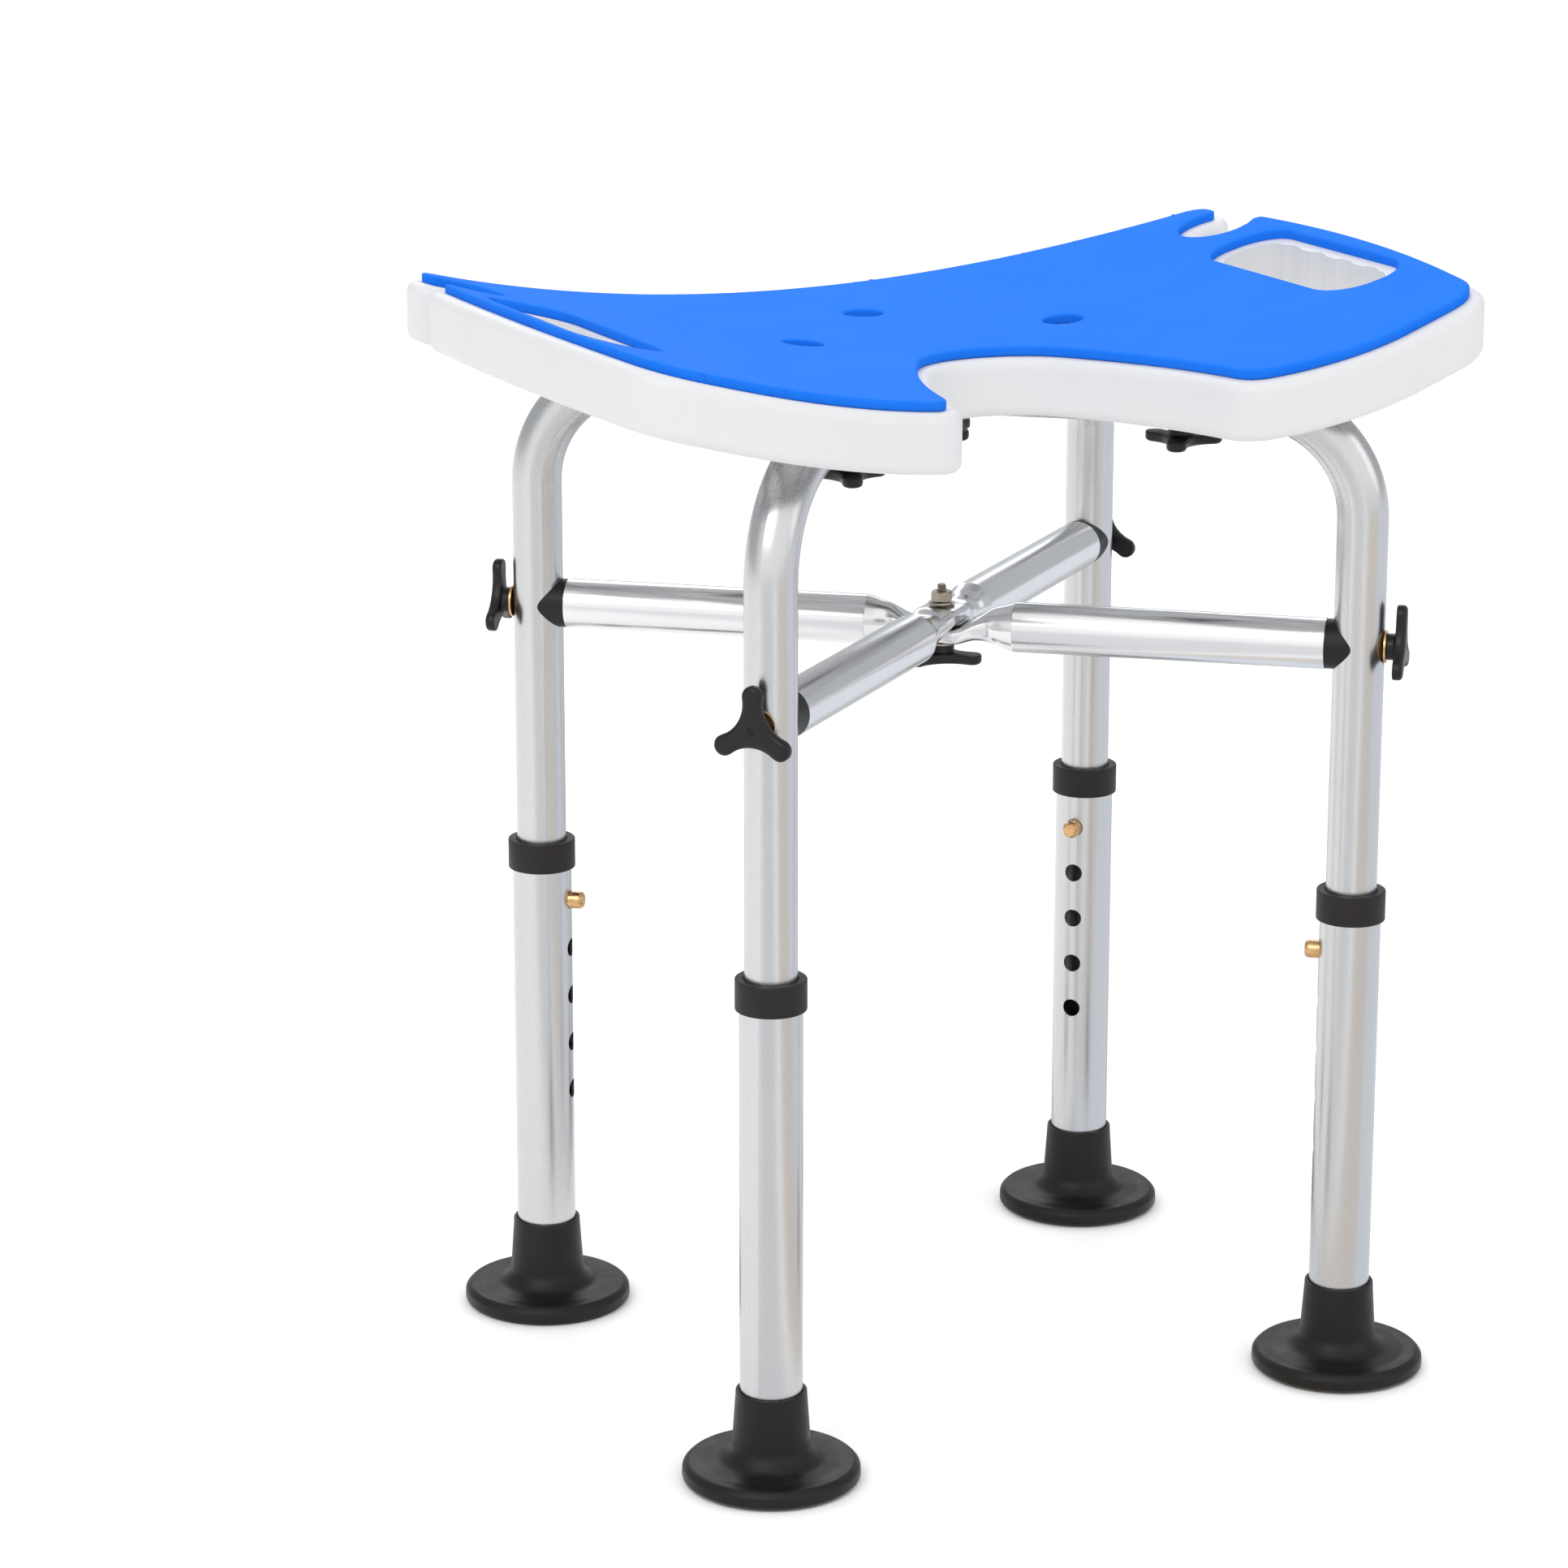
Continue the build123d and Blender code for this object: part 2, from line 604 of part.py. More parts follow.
def save_centre_bolt(name, meet_z, thickness, screw_length, turn):
    """The knob, washers and nut that clamp two crossed tubes together in the middle."""
    flats_top = meet_z + thickness
    flats_bottom = meet_z - thickness
    place = Rot(0, 0, turn) * hanging_place(0, flats_bottom - WASHER_THICKNESS - TURN_GAP)
    save(name + "_bolt_nut", centre_nut(flats_top + SPRING_WASHER_HEIGHT))
    save(name + "_spring_washer", spring_washer(flats_top))
    save(name + "_flat_washer", Pos(0, 0, flats_bottom - WASHER_THICKNESS) * washer())
    save_knob(name, place, screw_length)


def main():
    os.makedirs("parts", exist_ok=True)
    save("seat_pad", seat_pad())
    save("seat_shell", seat_shell())
    save("seat_inserts", on_each_diagonal(seat_insert()))

    for level, name, side in (("upper", "front_left", 1), ("lower", "front_right", -1)):
        flat_offset = side * FLAT_THICKNESS / 2
        seat_lift = SEAT_FLATS_MEET_Z + flat_offset - SEAT_TUBE_AXIS_Z
        save("seat_tube_" + level, on_diagonal(seat_tube(seat_lift), name))
        save("brace_tube_" + level, on_diagonal(brace_tube(side), name))
    save("brace_plug_nuts", on_each_diagonal(brace_plug_nut()))

    seat_tube_bottom = SEAT_TUBE_AXIS_Z - UPPER_TUBE_R
    hub_drop = WASHER_THICKNESS + TURN_GAP
    leg_washer = Pos(LEG_RADIUS + UPPER_TUBE_R, 0, BRACE_AXIS_Z) * Rot(0, 90, 0) * washer()
    seat_washer = Pos(SEAT_SCREW_ALONG, 0, seat_tube_bottom - WASHER_THICKNESS) * washer()
    save("leg_knob_washers", on_each_diagonal(leg_washer))
    save("seat_knob_washers", on_each_diagonal(seat_washer))

    for name in LEG_NAMES:
        save_leg(name)
        leg_place = on_diagonal(leg_knob_place(), name)
        seat_place = on_diagonal(hanging_place(SEAT_SCREW_ALONG, seat_tube_bottom - hub_drop), name)
        save_knob("leg_" + name, leg_place, LEG_KNOB_SCREW)
        save_knob("seat_" + name, seat_place, SEAT_KNOB_SCREW)

    save_centre_bolt("brace", BRACE_FLATS_MEET_Z, BRACE_FLAT_THICKNESS, BRACE_KNOB_SCREW, BRACE_KNOB_TURN)
    save_centre_bolt("crossing", SEAT_FLATS_MEET_Z, FLAT_THICKNESS, CROSSING_KNOB_SCREW, 0)


if __name__ == "__main__":
    main()
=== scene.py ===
"""The looks of a height-adjustable shower stool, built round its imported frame. Metres, +Z up.

The long axis of the seat is X and its front cut-out faces -Y. Each leg stands on a diagonal, and
pieces of a leg or a brace are made along +X and then turned to that diagonal.
"""

import json
import math

import bmesh
import bpy
from mathutils import Matrix, Vector, geometry, kdtree


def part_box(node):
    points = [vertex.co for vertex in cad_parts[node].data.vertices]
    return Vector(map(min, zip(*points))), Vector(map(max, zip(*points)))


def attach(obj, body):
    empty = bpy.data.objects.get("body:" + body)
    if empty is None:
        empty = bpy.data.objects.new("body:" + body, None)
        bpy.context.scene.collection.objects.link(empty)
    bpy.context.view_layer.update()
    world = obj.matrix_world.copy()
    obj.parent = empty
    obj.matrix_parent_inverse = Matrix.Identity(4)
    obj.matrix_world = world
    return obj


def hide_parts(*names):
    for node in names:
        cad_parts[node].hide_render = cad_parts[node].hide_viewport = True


MM = 0.001
LEGS = ("front_left", "front_right", "back_right", "back_left")

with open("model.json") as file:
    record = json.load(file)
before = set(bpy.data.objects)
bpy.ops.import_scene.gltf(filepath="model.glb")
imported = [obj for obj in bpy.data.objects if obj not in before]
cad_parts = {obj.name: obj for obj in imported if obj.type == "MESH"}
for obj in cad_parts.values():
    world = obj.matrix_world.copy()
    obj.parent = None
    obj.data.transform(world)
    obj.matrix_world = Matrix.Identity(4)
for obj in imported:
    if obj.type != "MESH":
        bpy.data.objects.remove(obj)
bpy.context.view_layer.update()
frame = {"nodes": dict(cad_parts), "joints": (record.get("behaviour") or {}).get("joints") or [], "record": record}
JOINTS = {joint["name"]: joint for joint in frame["joints"]}


# ---- places read from the frame ----
def middle(node):
    low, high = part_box(node)
    return (low + high) / 2


def reach(node, direction):
    """How far a node's points lie along a direction: the least and the most."""
    along = [v.co.dot(direction) for v in frame["nodes"][node].data.vertices]
    return min(along), max(along)


LEG_AXIS = {leg: middle("leg_tube_" + leg).xy for leg in LEGS}
BRACE_Z = middle("brace_plug_front_left").z


def diagonal(leg):
    """The matrix that turns +X to point at a leg."""
    x, y = LEG_AXIS[leg]
    return Matrix.Rotation(math.atan2(y, x), 4, "Z")


# ---- materials ----
def principled(name, base, metallic=0.0, roughness=0.5, **sockets):
    """A new node material with its shader's plain sockets set."""
    material = bpy.data.materials.new(name)
    material.use_nodes = True
    shader = material.node_tree.nodes["Principled BSDF"]
    shader.inputs["Base Color"].default_value = (*base, 1)
    shader.inputs["Metallic"].default_value = metallic
    shader.inputs["Roughness"].default_value = roughness
    for socket, value in sockets.items():
        shader.inputs[socket.replace("_", " ")].default_value = value
    return material


def add(material, kind, **values):
    """A new node in a material; values are its properties or its input sockets."""
    node = material.node_tree.nodes.new(kind)
    for name, value in values.items():
        if hasattr(node, name):
            setattr(node, name, value)
        else:
            node.inputs[name.replace("_", " ")].default_value = value
    return node


def link(material, source, target):
    material.node_tree.links.new(source, target)


def noise(material, scale, detail=3.0, stretch=(1, 1, 1), roughness=0.5):
    """Noise over the object's own coordinates; scale is in features per metre."""
    place = add(material, "ShaderNodeTexCoord")
    mapping = add(material, "ShaderNodeMapping")
    mapping.inputs["Scale"].default_value = stretch
    texture = add(material, "ShaderNodeTexNoise", Scale=scale, Detail=detail, Roughness=roughness)
    link(material, place.outputs["Object"], mapping.inputs["Vector"])
    link(material, mapping.outputs["Vector"], texture.inputs["Vector"])
    return texture.outputs["Fac"]


def spread(material, value, low, high, from_low=0.3, from_high=0.7):
    """A 0 to 1 pattern as a number from low to high."""
    node = add(material, "ShaderNodeMapRange")
    node.inputs["From Min"].default_value = from_low
    node.inputs["From Max"].default_value = from_high
    node.inputs["To Min"].default_value = low
    node.inputs["To Max"].default_value = high
    link(material, value, node.inputs["Value"])
    return node.outputs["Result"]


def tint(material, value, dark, light, from_low=0.3, from_high=0.7):
    """The base colour runs from dark to light with a pattern."""
    ramp = add(material, "ShaderNodeValToRGB")
    ramp.color_ramp.elements[0].position = from_low
    ramp.color_ramp.elements[1].position = from_high
    ramp.color_ramp.elements[0].color = (*dark, 1)
    ramp.color_ramp.elements[1].color = (*light, 1)
    link(material, value, ramp.inputs["Fac"])
    shader = material.node_tree.nodes["Principled BSDF"]
    link(material, ramp.outputs["Color"], shader.inputs["Base Color"])


def rough(material, value, low, high):
    shader = material.node_tree.nodes["Principled BSDF"]
    link(material, spread(material, value, low, high), shader.inputs["Roughness"])


def relief(material, *layers):
    """Bump from several patterns, each with the depth in metres that it stands for."""
    normal = None
    for value, depth in layers:
        bump = add(material, "ShaderNodeBump", Strength=1.0, Distance=depth)
        link(material, value, bump.inputs["Height"])
        if normal is not None:
            link(material, normal, bump.inputs["Normal"])
        normal = bump.outputs["Normal"]
    shader = material.node_tree.nodes["Principled BSDF"]
    link(material, normal, shader.inputs["Normal"])


def foam_blue():
    """Closed-cell foam: a bright blue skin with a fine pebbled grain."""
    m = principled("foam_blue", (0.014, 0.176, 0.81), roughness=0.62, Specular_IOR_Level=0.02)
    grain = noise(m, 1400, 4)
    pores = add(m, "ShaderNodeTexVoronoi", Scale=900.0)
    link(m, add(m, "ShaderNodeTexCoord").outputs["Object"], pores.inputs["Vector"])
    tint(m, noise(m, 26, 4), (0.012, 0.170, 0.79), (0.016, 0.182, 0.83))
    rough(m, grain, 0.55, 0.72)
    relief(m, (pores.outputs["Distance"], 0.00006), (grain, 0.00008))
    return m


def seat_white():
    """Blow-moulded polyethylene: off-white, satin, with an orange-peel skin."""
    glow = {
        "Subsurface_Weight": 0.08,
        "Subsurface_Radius": (0.004, 0.004, 0.004),
        "Subsurface_Scale": 0.5,
    }
    m = principled("seat_white", (0.69, 0.695, 0.705), roughness=0.42, **glow)
    grain = noise(m, 900, 3)
    tint(m, noise(m, 14, 3), (0.682, 0.687, 0.698), (0.700, 0.704, 0.712))
    rough(m, noise(m, 60, 4), 0.36, 0.48)
    relief(m, (grain, 0.00005), (noise(m, 120, 2), 0.00008))
    return m


def aluminium(name, light, dark, low, high, along):
    """Anodised tube: fine drawing lines along its length and a cloudy satin sheen."""
    m = principled(name, light, metallic=1.0, roughness=(low + high) / 2)
    lines = noise(m, 1500, 4, along, 0.6)
    clouds = noise(m, 18, 4)
    tint(m, clouds, dark, light)
    rough(m, lines, low, high)
    relief(m, (lines, 0.000006), (noise(m, 2600, 2), 0.000004))
    return m


def moulded_black(name, dark, light, low, high, grain_depth=0.00004, coat=0.0):
    """Black moulding with a fine sparked grain and faint scuffs."""
    gloss = {"Coat_Weight": coat, "Coat_Roughness": 0.25, "Specular_IOR_Level": 0.28}
    m = principled(name, dark, roughness=(low + high) / 2, **gloss)
    grain = noise(m, 1700, 3)
    scuffs = noise(m, 70, 5, roughness=0.65)
    tint(m, scuffs, dark, light, 0.35, 0.75)
    rough(m, scuffs, low, high)
    relief(m, (grain, grain_depth))
    return m


def turned_metal(name, dark, light, low, high):
    """Plated or turned metal with fine tool marks and a slightly stained surface."""
    m = principled(name, light, metallic=1.0, roughness=(low + high) / 2)
    stains = noise(m, 380, 5, roughness=0.6)
    tint(m, stains, dark, light)
    rough(m, stains, low, high)
    relief(m, (noise(m, 4200, 3), 0.00001))
    return m


MATERIALS = {
    "foam_blue": foam_blue(),
    "seat_white": seat_white(),
    "tube_aluminium": aluminium(
        "tube_aluminium", (0.62, 0.62, 0.62), (0.60, 0.602, 0.61), 0.25, 0.31, (1, 1, 0.01)
    ),
    "brace_aluminium": aluminium(
        "brace_aluminium", (0.80, 0.80, 0.805), (0.75, 0.755, 0.765), 0.16, 0.26, (1, 1, 1)
    ),
    "plug_black": moulded_black(
        "plug_black", (0.008, 0.007, 0.007), (0.012, 0.011, 0.010), 0.34, 0.50
    ),
    "collar_black": moulded_black(
        "collar_black", (0.013, 0.011, 0.010), (0.018, 0.015, 0.013), 0.42, 0.56
    ),
    "knob_black": moulded_black(
        "knob_black", (0.006, 0.006, 0.006), (0.010, 0.010, 0.010), 0.28, 0.42, 0.00002, 0.06
    ),
    "foot_rubber": moulded_black(
        "foot_rubber", (0.006, 0.0055, 0.005), (0.010, 0.009, 0.008), 0.34, 0.50
    ),
    "brass": turned_metal("brass", (0.55, 0.32, 0.14), (0.78, 0.50, 0.26), 0.18, 0.34),
    "zinc_steel": turned_metal("zinc_steel", (0.30, 0.27, 0.22), (0.46, 0.42, 0.35), 0.28, 0.45),
    "spring_steel": turned_metal("spring_steel", (0.30, 0.31, 0.33), (0.42, 0.43, 0.46), 0.2, 0.32),
}


def paint_frame():
    """Every CAD node takes the finish of its material slot."""
    for part in frame["record"]["subparts"]:
        mesh = frame["nodes"][part["node"]].data
        mesh.materials.clear()
        mesh.materials.append(MATERIALS[part["material_slot"]])


# ---- mesh building ----
def piece(name, mesh_data, slot, body, *replaced, sharp=35):
    """A finished piece from a bmesh: shaded smooth with its sharp edges kept, riding on a body."""
    mesh = bpy.data.meshes.new(name)
    mesh_data.normal_update()
    mesh_data.to_mesh(mesh)
    mesh_data.free()
    mesh.materials.append(MATERIALS[slot])
    mesh.shade_smooth()
    mesh.set_sharp_from_angle(angle=math.radians(sharp))
    obj = bpy.data.objects.new(name, mesh)
    bpy.context.scene.collection.objects.link(obj)
    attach(obj, body)
    if replaced:
        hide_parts(*replaced)
    return obj


def bridge(shape, first, second):
    """Quads between two closed rings of as many points."""
    for i in range(len(first)):
        j = (i + 1) % len(first)
        shape.faces.new((first[i], first[j], second[j], second[i]))


def closed_loft(rings, place=Matrix.Identity(4)):
    """A solid skin over rings of points; the last ring joins the first one."""
    shape = bmesh.new()
    made = [[shape.verts.new(place @ point) for point in ring] for ring in rings]
    for i, ring in enumerate(made):
        bridge(shape, ring, made[(i + 1) % len(made)])
    bmesh.ops.recalc_face_normals(shape, faces=shape.faces)
    return shape


def rounded(corners, steps=4):
    """A closed profile of (radius, height, corner radius) points with its corners rounded."""
    points = []
    count = len(corners)
    for i, (r, z, radius) in enumerate(corners):
        here = Vector((r, z))
        before = Vector(corners[i - 1][:2]) - here
        after = Vector(corners[(i + 1) % count][:2]) - here
        if radius == 0:
            points.append(here)
            continue
        half = before.angle(after) / 2
        cut = min(radius / math.tan(half), 0.49 * before.length, 0.49 * after.length)
        start = here + before.normalized() * cut
        end = here + after.normalized() * cut
        for step in range(steps + 1):
            t = step / steps
            points.append((1 - t) ** 2 * start + 2 * t * (1 - t) * here + t * t * end)
    return points


def turned(p, turns):
    """A profile point of (radius, height) at each of several angles about Z."""
    return [Vector((p.x * math.cos(a), p.x * math.sin(a), p.y)) for a in turns]


def lathe(profile, place, segments=96):
    """A closed profile of (radius, height) turned about Z."""
    turns = [2 * math.pi * i / segments for i in range(segments)]
    return closed_loft([turned(p, turns) for p in profile], place)


# ---- seat pad ----
PAD_THICKNESS = 5.0 * MM
# How near the seat's middle the lowest part of the saddle is read.
PAD_MIDDLE = 20 * MM
# Outline points nearer than SLIVER are merged, then spread again PAD_STEP apart.
SLIVER = 0.3 * MM
PAD_STEP = 1.5 * MM
WELD = 0.02 * MM
# The triangles of the pad's faces are about PAD_GRID wide.
PAD_GRID = 5.0 * MM
GRID_ROW = PAD_GRID * math.sqrt(0.75)
# The pad's face falls by PAD_EDGE_DROP at its edges, fading over PAD_CROWN_WIDTH.
PAD_EDGE_DROP = 0.45 * MM
PAD_CROWN_WIDTH = 7.0 * MM
# The pad's edge in millimetres, from its foot to its top: how far in from the outline, and how
# high.
PAD_EDGE = (
    (0.55, 0.0),
    (0.18, 0.16),
    (0.04, 0.55),
    (0.0, 1.6),
    (0.0, 2.9),
    (0.06, 3.9),
    (0.30, 4.5),
    (0.75, 4.86),
    (1.30, 5.0),
)


def outline_loops(node):
    """The closed outlines of a node's downward face, each a list of (x, y) points."""
    shape = bmesh.new()
    shape.from_mesh(frame["nodes"][node].data)
    bmesh.ops.remove_doubles(shape, verts=shape.verts, dist=WELD)
    under = {f for f in shape.faces if f.normal.z < -0.8}
    # A dict keeps the mesh's order, so that every run starts the loops at the same points.
    rim = dict.fromkeys(e for e in shape.edges if sum(f in under for f in e.link_faces) == 1)
    loops = []
    while rim:
        edge = next(iter(rim))
        del rim[edge]
        loop = [edge.verts[0], edge.verts[1]]
        while True:
            following = [e for e in loop[-1].link_edges if e in rim]
            if not following:
                break
            del rim[following[0]]
            loop.append(following[0].other_vert(loop[-1]))
        loops.append([v.co.xy.copy() for v in loop[:-1]])
    shape.free()
    return [without_slivers(loop) for loop in loops if len(loop) > 5]


def without_slivers(loop):
    """A closed outline less the points that lie almost on the one before them."""
    kept = [loop[0]]
    for point in loop[1:]:
        if (point - kept[-1]).length > SLIVER and (point - loop[0]).length > SLIVER:
            kept.append(point)
    return kept


def even_steps(loop, step):
    """The same closed outline with points an even step apart."""
    run = loop + loop[:1]
    lengths = [(b - a).length for a, b in zip(run, run[1:])]
    count = round(sum(lengths) / step)
    points = []
    at, passed = 0, 0.0
    for k in range(count):
        wanted = sum(lengths) * k / count
        while passed + lengths[at] < wanted:
            passed += lengths[at]
            at += 1
        points.append(run[at].lerp(run[at + 1], (wanted - passed) / lengths[at]))
    return points


def inset(loop, distance, inward):
    """A closed outline moved sideways; inward is +1 where the material lies on its left."""
    moved = []
    count = len(loop)
    for i in range(count):
        before = (loop[i] - loop[i - 1]).normalized()
        after = (loop[(i + 1) % count] - loop[i]).normalized()
        side = Vector((-(before + after).y, (before + after).x)).normalized()
        stretch = 1 / max(0.6, side.dot(Vector((-after.y, after.x))))
        moved.append(loop[i] + side * distance * stretch * inward)
    return moved


def area(loop):
    return sum(a.x * b.y - b.x * a.y for a, b in zip(loop, loop[1:] + loop[:1])) / 2


def saddle():
    """The pad's curved top as a function of x: an arc through its middle and its high ends."""
    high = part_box("seat_pad")[1]
    points = [v.co for v in frame["nodes"]["seat_pad"].data.vertices]
    centre = max(v.z for v in points if abs(v.x) < PAD_MIDDLE)
    rise, half = high.z - centre, high.x
    radius = (half * half + rise * rise) / (2 * rise)
    return lambda x: centre + radius - math.sqrt(radius * radius - x * x)


def foam_pad():
    """The die-cut foam pad: soft cut edges, a faint crown, and holes for hands and water."""
    surface = saddle()
    loops = [even_steps(loop, PAD_STEP) for loop in outline_loops("seat_pad")]
    outer = max(loops, key=lambda loop: abs(area(loop)))
    edge = kdtree.KDTree(sum(map(len, loops)))
    points = [p for loop in loops for p in loop]
    for i, p in enumerate(points):
        edge.insert((p.x, p.y, 0), i)
    edge.balance()

    def lifted(p, height):
        near = edge.find((p.x, p.y, 0))[2]
        drop = PAD_EDGE_DROP * math.exp(-near / PAD_CROWN_WIDTH) * height / PAD_THICKNESS
        return Vector((p.x, p.y, surface(p.x) - PAD_THICKNESS + height - drop))

    shape = bmesh.new()
    top_rims, bottom_rims = [], []
    for loop in loops:
        inward = 1 if (area(loop) > 0) == (loop is outer) else -1
        rings = []
        for distance, height in PAD_EDGE:
            ring = inset(loop, distance * MM, inward)
            rings.append((ring, [shape.verts.new(lifted(p, height * MM)) for p in ring]))
        for (_, a), (_, b) in zip(rings, rings[1:]):
            bridge(shape, a, b)
        bottom_rims.append(rings[0])
        top_rims.append(rings[-1])
    fill(shape, top_rims, lambda p: lifted(p, PAD_THICKNESS), edge)
    fill(shape, bottom_rims, lambda p: lifted(p, 0), edge)
    bmesh.ops.recalc_face_normals(shape, faces=shape.faces)
    pad = piece("foam_pad", shape, "foam_blue", "frame", "seat_pad", sharp=50)
    return pad


def fill(shape, rims, lift, edge):
    """Fill the area between rims with even triangles; lift turns a plan point into a 3-D one."""
    plan, verts, borders = [], [], []
    for ring, ring_verts in rims:
        start = len(plan)
        plan += ring
        verts += ring_verts
        borders += [(start + i, start + (i + 1) % len(ring)) for i in range(len(ring))]
    count = len(plan)
    low = Vector((min(p.x for p in plan), min(p.y for p in plan)))
    high = Vector((max(p.x for p in plan), max(p.y for p in plan)))
    rows = int((high.y - low.y) / GRID_ROW)
    columns = int((high.x - low.x) / PAD_GRID)
    for row in range(rows + 1):
        for column in range(columns + 1):
            shift = 0.5 if row % 2 else 0.0
            p = low + Vector(((column + shift) * PAD_GRID, row * GRID_ROW))
            if edge.find((p.x, p.y, 0))[2] > 0.6 * PAD_GRID:
                plan.append(p)
    made = geometry.delaunay_2d_cdt(plan, borders, [], 0, 1e-7)
    points, triangles, origins = made[0], made[2], made[3]
    source = {}
    for i, came_from in enumerate(origins):
        known = [k for k in came_from if k < count]
        source[i] = verts[known[0]] if known else None
    for triangle in triangles:
        centre = sum((points[i] for i in triangle), Vector((0, 0))) / 3
        if not inside(centre, rims):
            continue
        for i in triangle:
            if source[i] is None:
                source[i] = shape.verts.new(lift(points[i]))
        shape.faces.new([source[i] for i in triangle])


def inside(point, rims):
    """Whether a plan point lies in the material: inside an odd number of rims."""
    crossings = 0
    for ring, _ in rims:
        for a, b in zip(ring, ring[1:] + ring[:1]):
            if (a.y > point.y) != (b.y > point.y):
                if point.x < a.x + (b.x - a.x) * (point.y - a.y) / (b.y - a.y):
                    crossings += 1
    return crossings % 2 == 1


# ---- knobs, screws and nuts ----
KNOB_TIP_R = 21.0 * MM
KNOB_LOBE_R = 5.0 * MM
KNOB_WAIST_R = 8.0 * MM
KNOB_HUB_R = 6.5 * MM
KNOB_HUB_LENGTH = 4.0 * MM
KNOB_THICKNESS = 5.5 * MM
KNOB_SOCKET_DEPTH = 8.0 * MM
SCREW_R = 2.4 * MM
SCREW_CHAMFER = 0.7 * MM
THREAD_PITCH = 1.058 * MM
THREAD_DEPTH = 0.6 * MM
NUT_ACROSS = 9.5 * MM
NUT_CHAMFER = 0.4 * MM
# How far the nut, the spring washer's gap and the brace's knob are turned, in degrees.
NUT_TURN = -8.4
SPRING_GAP_TURN = -60
BRACE_KNOB_TURN = 42
ARC_STEPS = 12
# Rings of the knob's grip from its hub to its face, in millimetres: how far in from the outline,
# and the height above the hub's foot.
KNOB_RINGS = (
    (0.35, 4.45),
    (0.05, 5.0),
    (0.0, 5.8),
    (0.0, 7.2),
    (0.08, 7.9),
    (0.35, 8.5),
    (0.85, 9.0),
    (1.6, 9.35),
    (2.6, 9.5),
)
# The gate mark in the middle of the knob's face, in millimetres: its radius, and its height
# above the face.
KNOB_GATE_MARK = (
    (2.4, 0.06),
    (1.9, 0.05),
    (1.6, -0.35),
    (1.0, -0.45),
    (0.7, -0.15),
    (0.35, -0.1),
)


def polar(angle):
    return Vector((math.cos(angle), math.sin(angle)))


def bearing(point):
    return math.atan2(point.y, point.x)


def lobed_ring(distance, height):
    """One ring of a three-lobed outline, moved in by distance, at a height."""
    lobe_centre = KNOB_TIP_R - KNOB_LOBE_R
    difference = KNOB_WAIST_R - KNOB_LOBE_R
    side_centre = (lobe_centre**2 - difference**2) / (lobe_centre - 2 * difference)
    side_r = side_centre - KNOB_WAIST_R
    sixth = math.pi / 3
    points = []
    for lobe in range(3):
        facing = math.radians(90 + 120 * lobe)
        tip = polar(facing) * lobe_centre
        before, hollow = (polar(facing + turn) * side_centre for turn in (-sixth, sixth))
        start, end = bearing(before - tip), bearing(hollow - tip)
        sweep = (end - start) % (2 * math.pi)
        for i in range(ARC_STEPS):
            a = start + sweep * i / ARC_STEPS
            points.append(tip + polar(a) * (KNOB_LOBE_R - distance))
        next_tip = polar(facing + 2 * sixth) * lobe_centre
        start, end = bearing(tip - hollow), bearing(next_tip - hollow)
        sweep = -((start - end) % (2 * math.pi))
        for i in range(ARC_STEPS):
            a = start + sweep * i / ARC_STEPS
            points.append(hollow + polar(a) * (side_r + distance))
    return [Vector((p.x, p.y, height)) for p in points]


def round_ring(radius, height, like):
    """A circle whose points face the same way as those of a ring."""
    return [Vector((p.x, p.y, 0)).normalized() * radius + Vector((0, 0, height)) for p in like]


def shrunk_ring(ring, share, height):
    return [Vector((p.x * share, p.y * share, height)) for p in ring]


def knob_mesh(place):
    """A three-lobed knob along +Z with a screw socket in its hub and a gate mark on its face."""
    outline = lobed_ring(0, 0)
    face = KNOB_HUB_LENGTH + KNOB_THICKNESS
    rings = [
        round_ring(SCREW_R, 0.0, outline),
        round_ring(KNOB_HUB_R - 0.5 * MM, 0.0, outline),
        round_ring(KNOB_HUB_R - 0.1 * MM, 0.15 * MM, outline),
        round_ring(KNOB_HUB_R, 0.6 * MM, outline),
        round_ring(KNOB_HUB_R, 3.2 * MM, outline),
        round_ring(KNOB_HUB_R + 0.15 * MM, 3.7 * MM, outline),
        round_ring(KNOB_HUB_R + 0.5 * MM, 4.0 * MM, outline),
    ]
    rings += [lobed_ring(distance * MM, height * MM) for distance, height in KNOB_RINGS]
    inner = lobed_ring(KNOB_RINGS[-1][0] * MM, 0)
    rings += [shrunk_ring(inner, share, face + 0.12 * MM * (1 - share)) for share in (0.75, 0.5)]
    rings += [round_ring(r * MM, face + h * MM, outline) for r, h in KNOB_GATE_MARK]
    shape = bmesh.new()
    made = [[shape.verts.new(place @ p) for p in ring] for ring in rings]
    for a, b in zip(made, made[1:]):
        bridge(shape, a, b)
    shape.faces.new(made[-1])
    socket_end = round_ring(SCREW_R, KNOB_SOCKET_DEPTH, outline)
    bottom = [shape.verts.new(place @ p) for p in socket_end]
    bridge(shape, bottom, made[0])
    shape.faces.new(bottom)
    bmesh.ops.recalc_face_normals(shape, faces=shape.faces)
    return shape


def knob_place(joint, leg=None):
    """The knob's own frame: its axis is the joint's, and one lobe points up or to the front."""
    axis = Vector(joint["axis"]).normalized()
    lobe = Vector((0, 0, 1)) if abs(axis.z) < 0.5 else Vector((0, -1, 0))
    if leg is not None and abs(axis.z) > 0.5:
        lobe = diagonal(leg).to_3x3() @ lobe
    if joint["name"] == "turn_knob_brace":
        lobe = Matrix.Rotation(math.radians(BRACE_KNOB_TURN), 3, "Z") @ lobe
    turn = Matrix((lobe.cross(axis), lobe, axis)).transposed().to_4x4()
    return Matrix.Translation(joint["pos_m"]) @ turn


